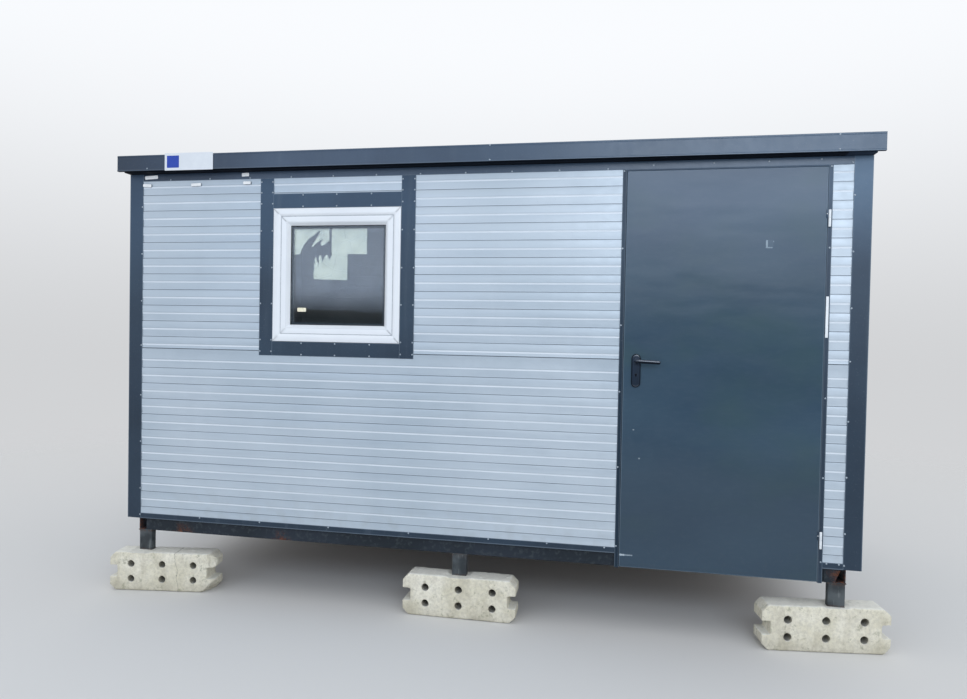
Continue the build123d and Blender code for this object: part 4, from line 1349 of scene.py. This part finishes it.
def hinge_knuckles():
    """The upper halves of the barrels, each with its strap, on the leaf."""
    piece = Piece("hinge_knuckles_turned")
    x, y = HINGE_AXIS.xy
    profile = [(BARREL * share, KNUCKLE - height) for share, height in reversed(HALF_BARREL)]
    for bottom in (low("hinge_knuckles").z, high("hinge_knuckles").z - KNUCKLE):
        piece.turn(profile, (x, y, bottom), Z, WHITE, ROUND)
        strap = Vector((LEAF_HIGH.x - STRAP, LEAF_LOW.y - 0.003, bottom))
        piece.block(strap, (x, LEAF_LOW.y, bottom + KNUCKLE), TRIM, 0.0008)
        screw(piece, strap + Vector((STRAP / 2, 0, KNUCKLE / 2)), -Y, 0.0022, WHITE)
    piece.make("door", "white_plastic", "hinge_knuckles")


def hinge_cover_strip():
    """A flat white strip beside the hinges."""
    piece = Piece("hinge_cover_strip_moulded")
    piece.block(low("hinge_cover_strip"), high("hinge_cover_strip"), WHITE, 0.0012, segments=3,
                cuts=(1, 1, 6), warp=wavy(0.0003, 9.0, Y))
    piece.make("cabin", "white_plastic", "hinge_cover_strip")


door_frame()
threshold()
door_leaf()
handle_plate("handle_plate_outside", -Y)
handle_plate("handle_plate_inside", Y)
lock_cylinder()
lever_handles()
hinge_pins()
hinge_knuckles()
hinge_cover_strip()


# Base frame
CHANNEL_DEPTH, CHANNEL_WALL = 0.05, 0.006
RUST_SPOTS = [(-1.850, -1.765), (-1.165, -1.105)]  # along the front beam's lower edge
RUST_STRIDE = 0.03  # between the sections of a beam, fine enough to carry its rust


def channel_section(depth, height, wall):
    """A rolled channel from the outer lower corner of its web, with rounded outer and inner corners."""
    path = [(0, 0), (depth, 0), (depth, wall * 0.8), (wall, wall * 1.15), (wall, height - wall * 1.15),
            (depth, height - wall * 0.8), (depth, height), (0, height)]
    return edged(eased(path, 0.003), 0.009)


def channel_beam(side, extra=None, rust=None):
    """A channel beam in place of its node, its web outwards, with what an extra function adds to it."""
    node = "base_beam_" + side
    outward, along = SIDES[side]
    lowest, highest = low(node), high(node)
    start, end = sorted((lowest.dot(along), highest.dot(along)))
    base = outward * max(lowest.dot(outward), highest.dot(outward)) + Z * BEAM_BOTTOM
    section = channel_section(CHANNEL_DEPTH, BEAM_HEIGHT, CHANNEL_WALL)
    piece = Piece(node + "_rolled")
    piece.prism(section, base + along * start, base + along * end, -outward, Z, BEAM,
                steps=round((end - start) / RUST_STRIDE), warp=wavy(0.0005, 3.0, outward),
                rust=rust or end_rust(start, end, along))
    if extra:
        extra(piece)
    piece.make("cabin", "frame_paint", node)


def end_rust(start, end, along):
    """Rust that gathers at both ends and along the lower edge of a beam."""
    def amount(p):
        reach = min(p.dot(along) - start, end - p.dot(along))
        edge = 0.35 if p.z < BEAM_BOTTOM + 0.006 else 0.0
        return max(edge * (0.5 + 0.5 * noise.noise(p * 3.0)), 0.75 - reach * 14.0, 0.0)
    return amount


def front_rust(p):
    """Rust in a few spots on the lower edge of the front beam."""
    amount = 0.0
    for left, right in RUST_SPOTS:
        beside = max(left - p.x, p.x - right, 0.0)
        amount = max(amount, 1.1 - beside / 0.03 - max(0.0, p.z - BEAM_BOTTOM) / 0.022)
    return amount


def gusset(piece):
    """A plate over the corner joint, cut off slanting, rusty along the cut and welded to the beams."""
    x = high("base_beam_front").x
    left, foot, head = x - 0.06, BEAM_BOTTOM + 0.001, BEAM_TOP - 0.001
    corners = [(left, foot), (x - 0.006, foot), (x + 0.026, head), (left, head)]
    fine = []
    for a, b in edges(corners):
        fine += [Vector(a).lerp(Vector(b), k / 12) for k in range(12)]
    rings = []
    for y, shrink in ((0.0, 0.0), (-0.0026, 0.0), (-0.003, 0.0004)):
        rings.append([Vector((p.x - shrink, BEAM_FACE + y, p.y)) for p in fine])

    def cut_rust(p):
        slant = x - 0.006 + 0.032 * (p.z - BEAM_BOTTOM) / BEAM_HEIGHT
        return max(0.0, 1.0 - (slant - p.x) / 0.012)

    piece.loft(rings, BEAM, rust=cut_rust)


LEG_X, LEG_Y = 0.088, 0.045
LEG_WALL = 0.006


def weld(piece, corners, level, size=0.0035):
    """A weld bead round a closed run of corners: a lumpy rope of metal."""
    spots = []
    for a, b in edges(corners):
        count = max(2, round((b - a).length / 0.004))
        spots += [a.lerp(b, k / count) for k in range(count)]
    rings = []
    for i, p in enumerate(spots):
        along = (spots[(i + 1) % len(spots)] - spots[i - 1]).normalized()
        side = Vector((along.y, -along.x, 0))
        r = size * (1.0 + 0.22 * (-1) ** i + 0.3 * noise.noise(p * 160))
        rings.append([Vector((p.x, p.y, level)) + side * (r * c.x) + Z * (r * c.y) for c in circle(1.0, 8)])
    piece.loft(rings, LEG, closed=True, rust=lambda p: 0.55)


def leg(piece, x, y, foot, head):
    """A short length of square tube, welded under the beam, scratched and rusty at its foot."""
    outer = rectangle(LEG_X, LEG_Y, 0.006, segments=4)
    inner = rectangle(LEG_X - 2 * LEG_WALL, LEG_Y - 2 * LEG_WALL, 0.003, segments=4)
    levels = [foot + (head - foot) * k / 10 for k in range(11)]
    rings = [[Vector((x + p.x, y + p.y, z)) for p in outer] for z in levels]
    rings += [[Vector((x + p.x, y + p.y, z)) for p in inner] for z in levels[::-1]]
    piece.loft(rings, LEG, closed=True, warp=lambda p: Y * (0.0006 * noise.noise(p * 20)),
               rust=lambda p: max(0.0, 0.6 - (p.z - foot) / 0.02, 1.0 - (head - p.z) / 0.016))
    w, d = LEG_X / 2 + 0.0006, LEG_Y / 2 + 0.0006
    corners = [Vector((x + sx * w, y + sy * d, 0)) for sx, sy in ((-1, -1), (1, -1), (1, 1), (-1, 1))]
    weld(piece, corners, head - 0.0012)


def legs():
    """Six legs in two rows."""
    piece = Piece("base_legs_welded")
    lowest, highest = low("base_legs"), high("base_legs")
    left, right = lowest.x + LEG_X / 2, highest.x - LEG_X / 2
    for y in (lowest.y + LEG_Y / 2, highest.y - LEG_Y / 2):
        for x in (left, (left + right) / 2, right):
            leg(piece, x, y, lowest.z, highest.z)
    piece.make("cabin", "frame_paint", "base_legs")


channel_beam("front", gusset, front_rust)
for side in ("rear", "left", "right"):
    channel_beam(side)
legs()


# Concrete feet
ROUGHNESS = [(0.0016, 17), (0.001, 55), (0.0006, 130)]  # depth of each layer of unevenness, and its scale


def broken(co, corner, normal, depth, seed):
    """Pushes a point back to a rough broken face that cuts off a corner, where it stands outside it."""
    normal = normal.normalized()
    rough = 0.006 * noise.noise(co * 34 + Vector((seed, 0, 0))) + 0.003 * noise.noise(co * 90)
    over = (co - corner).dot(normal) + depth + rough
    return co - normal * over if over > 0 else co


def concrete_foot(node, voxel, breaks=(), crack=None):
    """Cast concrete from the node's own solid: worn edges, an uneven face, broken corners and a crack."""
    lowest, highest = low(node), high(node)
    source = bpy.data.objects.new(node + "_weathered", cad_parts[node].data.copy())
    bpy.context.scene.collection.objects.link(source)
    mesh = source.data
    mesh.materials.clear()
    mesh.materials.append(CONCRETE)
    remesh = source.modifiers.new("remesh", "REMESH")
    remesh.mode = "VOXEL"
    remesh.voxel_size = voxel
    smooth = source.modifiers.new("smooth", "SMOOTH")
    smooth.iterations = 1
    smooth.factor = 0.5
    depsgraph = bpy.context.evaluated_depsgraph_get()
    shaped = bpy.data.meshes.new_from_object(source.evaluated_get(depsgraph))
    source.modifiers.clear()
    source.data = shaped
    bpy.data.meshes.remove(mesh)
    shell = bmesh.new()
    shell.from_mesh(shaped)
    for v in shell.verts:
        co = v.co.copy()
        rough = sum(size * noise.noise(co * scale) for size, scale in ROUGHNESS)
        pit = max(0.0, noise.noise(co * 38 + Vector((9, 3, 1))) - 0.42)
        co += v.normal * (rough - 0.012 * pit - 0.0006)
        for i, (corner, normal, depth) in enumerate(breaks):
            co = broken(co, corner, normal, depth, 3.0 * i)
        co.z = max(co.z, lowest.z)
        v.co = co
    marks = shade_hollows(shell)
    if crack is not None:
        split(shell, Vector((crack, (lowest.y + highest.y) / 2, 0)), marks)
    shell.to_mesh(shaped)
    shell.free()
    shaped.shade_smooth()
    shaped.set_sharp_from_angle(angle=math.radians(34))
    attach(source, "cabin")
    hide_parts(node)


def shade_hollows(shell):
    """Painted shade on the walls of holes and notches, where a wall faces another one close by."""
    reach = 0.075
    shell.normal_update()
    tree = BVHTree.FromBMesh(shell)
    layer = shell.verts.layers.float.new("grime")
    for v in shell.verts:
        across = tree.ray_cast(v.co + v.normal * 0.003, v.normal, reach)[3]
        if across is not None:
            v[layer] = 1.15 * (1.0 - across / reach)
    return layer


def split(shell, spot, marks):
    """A jagged crack through a foot at a spot, as two faces a little apart."""
    along = Vector((math.cos(LEFT_TURN), math.sin(LEFT_TURN), 0))
    everything = shell.verts[:] + shell.edges[:] + shell.faces[:]
    cut = bmesh.ops.bisect_plane(shell, geom=everything, plane_co=spot, plane_no=along)
    edges = [e for e in cut["geom_cut"] if isinstance(e, bmesh.types.BMEdge)]
    bmesh.ops.split_edges(shell, edges=edges)
    bmesh.ops.holes_fill(shell, edges=[e for e in shell.edges if e.is_boundary])
    reach = 0.05
    for v in shell.verts:
        away = (v.co - spot).dot(along)
        y, z = v.co.yz
        jag = 0.022 * noise.noise(Vector((0, y * 6, z * 11))) + 0.009 * noise.noise(Vector((0, 0, z * 60)))
        gap = 0.0
        if abs(away) < 0.0005:
            beyond = sum(((f.calc_center_median() - spot).dot(along) for f in v.link_faces), 0.0) > 0
            gap = 0.0012 if beyond else -0.0012
            v[marks] = 0.8
        v.co += along * (jag * max(0.0, 1.0 - abs(away) / reach) + gap)


LEFT = "concrete_foot_front_left"
LEFT_TURN = math.radians(8.0)
LEFT_CORNER = Vector((high(LEFT).x, low(LEFT).y + 0.09, 0.0))
LEFT_BREAKS = [(LEFT_CORNER, Vector((0.85, -0.25, -0.75)), 0.062),
               (LEFT_CORNER + Z * 0.16, Vector((0.8, -0.6, 0.1)), 0.03)]
FINE, COARSE = 0.0048, 0.008  # sizes of the remeshed concrete's faces
concrete_foot(LEFT, FINE, LEFT_BREAKS, crack=-1.838)
concrete_foot("concrete_foot_front_middle", FINE)
concrete_foot("concrete_foot_front_right", FINE)
for side in ("left", "middle", "right"):
    concrete_foot("concrete_foot_rear_" + side, COARSE)


# Roof and floor
SEAM = 0.0008  # half the open seam between two boards
RIB_BASE, RIB_CROWN = 0.060, 0.026  # width of a roof rib at its foot and at its top


def boards(piece, lowest, highest, paint, count=4):
    """Equal boards side by side along X, with fine open seams between them."""
    width = (highest.x - lowest.x) / count
    for i in range(count):
        left, right = lowest.x + width * i + SEAM, lowest.x + width * (i + 1) - SEAM
        piece.block((left, lowest.y, lowest.z), (right, highest.y, highest.z), paint, 0.0012)


def roof_profile(ribs, pitch, crown_top, edge):
    """Upper outline of the roof sheet with trapezoid ribs and low stiffening folds, and how much darker each
    point is painted.
    """
    base, crown = RIB_BASE / 2, RIB_CROWN / 2
    rib = [(-base - 0.004, ROOF_TOP), (-base, ROOF_TOP + 0.0012), (-crown - 0.0012, crown_top - 0.002),
           (-crown + 0.001, crown_top)]
    rib += [(-x, z) for x, z in rib[::-1]]
    fold = [(-0.012, ROOF_TOP), (-0.008, ROOF_TOP + 0.0022), (0.008, ROOF_TOP + 0.0022), (0.012, ROOF_TOP)]
    top = [(-edge, ROOF_TOP - 0.002), (0.002 - edge, ROOF_TOP)]
    dirt_and_shade = [0.8, 0.6]
    for i, x in enumerate(ribs):
        top += shifted(rib, x)
        dirt_and_shade += [0.7, 0.6, 0, 0, 0, 0, 0.6, 0.7]
        if i < len(ribs) - 1:
            for share in (0.35, 0.65):
                top += shifted(fold, x + pitch * share)
                dirt_and_shade += [0.3, 0, 0, 0.3]
    return top + [(edge - 0.002, ROOF_TOP), (edge, ROOF_TOP - 0.002)], dirt_and_shade + [0.6, 0.8]


def roof():
    """Ribbed roof sheet, its underside painted near black as painted shade under the eaves, and the ceiling
    inside.
    """
    lowest, highest = low("roof_panel"), high("roof_panel")
    pitch = COURSE / 3
    count = int((highest.x - lowest.x - RIB_BASE) // pitch) + 1
    ribs = [(i - (count - 1) / 2) * pitch for i in range(count)]
    top, dirt_and_shade = roof_profile(ribs, pitch, highest.z, highest.x)
    outline = [(lowest.x, lowest.z)] + top + [(highest.x, lowest.z)]
    # The sheet's underside is painted near black as painted shade.
    paint = [TRIM] + [ROOF] * (len(outline) - 3) + [TRIM, SHADE]
    piece = Piece("roof_panel_ribbed")
    piece.prism(outline, Y * lowest.y, Y * highest.y, X, Z, paint, steps=16,
                warp=lambda p: Z * (0.0012 * noise.noise(p * 1.9)) if p.z > ROOF_TOP - 0.001 else Vector(),
                grime=[0] + dirt_and_shade + [0])
    for x in ribs:
        for y in (-1.1, -0.55, 0.0, 0.55, 1.1):
            screw(piece, (x, y, highest.z - 0.0004), Z)
    room = HALF - WALL
    boards(piece, Vector((-room, INSIDE + 0.001, lowest.z - 0.003)),
           Vector((room, -INSIDE - 0.001, lowest.z + 0.001)), LINING)
    piece.make("cabin", "roof_sheet", "roof_panel", sharp=25.0)


def floor():
    """Film faced boards, screwed down on the joists, with fine open seams between them."""
    lowest, highest = low("floor_deck"), high("floor_deck")
    piece = Piece("floor_deck_boards")
    boards(piece, lowest, highest, BOARD)
    for i in range(5):
        for k in range(8):
            x = lowest.x + 0.03 + (highest.x - lowest.x - 0.06) * i / 4
            y = lowest.y + 0.06 + (highest.y - lowest.y - 0.12) * k / 7
            screw(piece, (x, y, highest.z - 0.0016), Z, 0.0045, ZINC)
    piece.make("cabin", "floor_board", "floor_deck")


def joists():
    """Five joists of formed steel under the floor."""
    lowest, highest = low("floor_joists"), high("floor_joists")
    piece = Piece("floor_joists_formed")
    width = 0.06
    section = eased([(0, 0), (width, 0), (width, BEAM_HEIGHT), (0, BEAM_HEIGHT)], 0.006, segments=4)
    for i in range(5):
        base = Vector((lowest.x + (highest.x - lowest.x - width) * i / 4, 0, lowest.z))
        piece.prism(section, base + Y * lowest.y, base + Y * highest.y, X, Z, BEAM, steps=24,
                    rust=end_rust(lowest.y, highest.y, Y))
    piece.make("cabin", "frame_paint", "floor_joists")


roof()
floor()
joists()


# Stage, lights and camera
FLOOR_REACH = (4.2, 9.5)  # from the middle: the floor fades out between these
FLOOR_CORNERS = [(-20.0, -20.0, 0), (20.0, -20.0, 0), (20.0, 20.0, 0), (-20.0, 20.0, 0)]
LAMP_PLANE = -8.0
COOL = (0.86, 0.96, 1.09)
COOLER = (0.64, 0.88, 1.3)
# Upright soft lamps in one plane in front: left and right edge, foot, head, brightness and colour
SOFT_LAMPS = {"left_high": (-5.4, -2.1, 3.4, 4.9, 1.05, COOLER),
              "left_low": (-5.4, -2.1, 2.03, 3.4, 0.98, COOLER),
              "right": (0.3, 5.8, 3.35, 6.0, 3.7, COOL),
              "band": (0.5, 4.3, 2.6, 3.0, 2.8, COOL)}
# Dark card before the lamps' feet: half width, height, where it starts to fade, distance from the lamps
FLAG_HALF, FLAG_HEIGHT, FLAG_FADE, FLAG_BEFORE = 7.0, 2.45, 1.85, 0.35


def stage_sheet(name, corners, material):
    """A flat sheet between four corners, which belongs to the stage."""
    mesh = bpy.data.meshes.new(name)
    mesh.from_pydata(corners, [], [(0, 1, 2, 3)])
    sheet = bpy.data.objects.new(name, mesh)
    bpy.context.scene.collection.objects.link(sheet)
    mesh.materials.append(material)
    return sheet


def floor_paint():
    """Pale floor that takes shadows near the part and fades into the plain background further out."""
    p = Paint("stage_pale", "D4D4D3", 1.0)
    pale = p.node("ShaderNodeBsdfDiffuse", {"Color": (0.66, 0.66, 0.655, 1.0)})
    reach = p.node("ShaderNodeVectorMath", {0: p.place}, "Value", operation="LENGTH")
    p.blend(p.ramp(reach, *FLOOR_REACH), pale, p.node("ShaderNodeBsdfTransparent", {}))
    return p.material


def flag_paint():
    """Dark card that fades out towards its upper edge."""
    p = Paint("stage_dark", "4C5660", 0.9)
    tone = p.mix(p.ramp(p.cloud(0.9, 4.0), 0.35, 0.65), "434C55", "545F6A")
    p.tree.links.new(tone, p.shader.inputs["Base Color"])
    clear = p.node("ShaderNodeBsdfTransparent", {})
    p.blend(p.ramp(p.axis("Z"), FLAG_FADE, FLAG_HEIGHT), p.shader.outputs[0], clear)
    return p.material


def dark_flag():
    """A dark card beyond the camera, out of sight, so that glass and paint reflect a dark lower band."""
    y = LAMP_PLANE + FLAG_BEFORE
    corners = [(-FLAG_HALF, y, 0), (FLAG_HALF, y, 0), (FLAG_HALF, y, FLAG_HEIGHT),
               (-FLAG_HALF, y, FLAG_HEIGHT)]
    card = stage_sheet("stage_flag", corners, flag_paint())
    card.visible_camera = False
    card.visible_diffuse = False
    card.visible_shadow = False


def lamp(name, left, right, foot, head, level, colour):
    """A soft rectangular lamp that points at the cabin's front."""
    light = bpy.data.lights.new(name, "AREA")
    light.shape = "RECTANGLE"
    light.size, light.size_y = right - left, head - foot
    light.energy = level * math.pi * light.size * light.size_y
    light.color = colour
    made = bpy.data.objects.new(name, light)
    made.location = ((left + right) / 2, LAMP_PLANE, (foot + head) / 2)
    made.rotation_euler = Y.to_track_quat("-Z", "Y").to_euler()
    made.visible_camera = False
    bpy.context.scene.collection.objects.link(made)


HORIZON = (0.64, 0.65, 0.665, 1.0)
SKY = (0.95, 0.97, 1.0, 1.0)


def sky():
    """A pale even sky, a little darker towards the horizon."""
    world = bpy.data.worlds.new("pale_sky")
    bpy.context.scene.world = world
    world.use_nodes = True
    nodes = Nodes(world.node_tree, "Generated")
    tone = nodes.mix(nodes.ramp(nodes.axis("Z"), -0.05, 0.4), HORIZON, SKY)
    nodes.tree.links.new(tone, nodes.tree.nodes["Background"].inputs["Color"])


# The photograph's camera: place, turns and lens
CAMERA_PLACE = Vector((0.8811, -5.2221, 1.6746))
CAMERA_YAW = math.radians(-10.62)
CAMERA_PITCH = math.radians(1.185)
CAMERA_ROLL = math.radians(1.073)
FOCAL_PIXELS = 700.0
IMAGE_WIDTH = 967.0
SENSOR = 36.0


def camera():
    """A nearly level camera at eye height, turned to the left."""
    data = bpy.data.cameras.new("photo_camera")
    data.sensor_width = SENSOR
    data.lens = FOCAL_PIXELS / IMAGE_WIDTH * SENSOR
    made = bpy.data.objects.new("photo_camera", data)
    level = Vector((math.sin(CAMERA_YAW), math.cos(CAMERA_YAW), 0))
    across = Vector((math.cos(CAMERA_YAW), -math.sin(CAMERA_YAW), 0))
    forward = level * math.cos(CAMERA_PITCH) - Z * math.sin(CAMERA_PITCH)
    upward = Z * math.cos(CAMERA_PITCH) + level * math.sin(CAMERA_PITCH)
    right = across * math.cos(CAMERA_ROLL) + upward * math.sin(CAMERA_ROLL)
    up = upward * math.cos(CAMERA_ROLL) - across * math.sin(CAMERA_ROLL)
    turn = Matrix((right, up, -forward)).transposed()
    made.matrix_world = Matrix.Translation(CAMERA_PLACE) @ turn.to_4x4()
    bpy.context.scene.collection.objects.link(made)
    bpy.context.scene.camera = made


stage_sheet("stage_floor", FLOOR_CORNERS, floor_paint())
dark_flag()
sky()
for name, values in SOFT_LAMPS.items():
    lamp("soft_" + name, *values)
camera()
bpy.context.scene.view_settings.view_transform = "Standard"
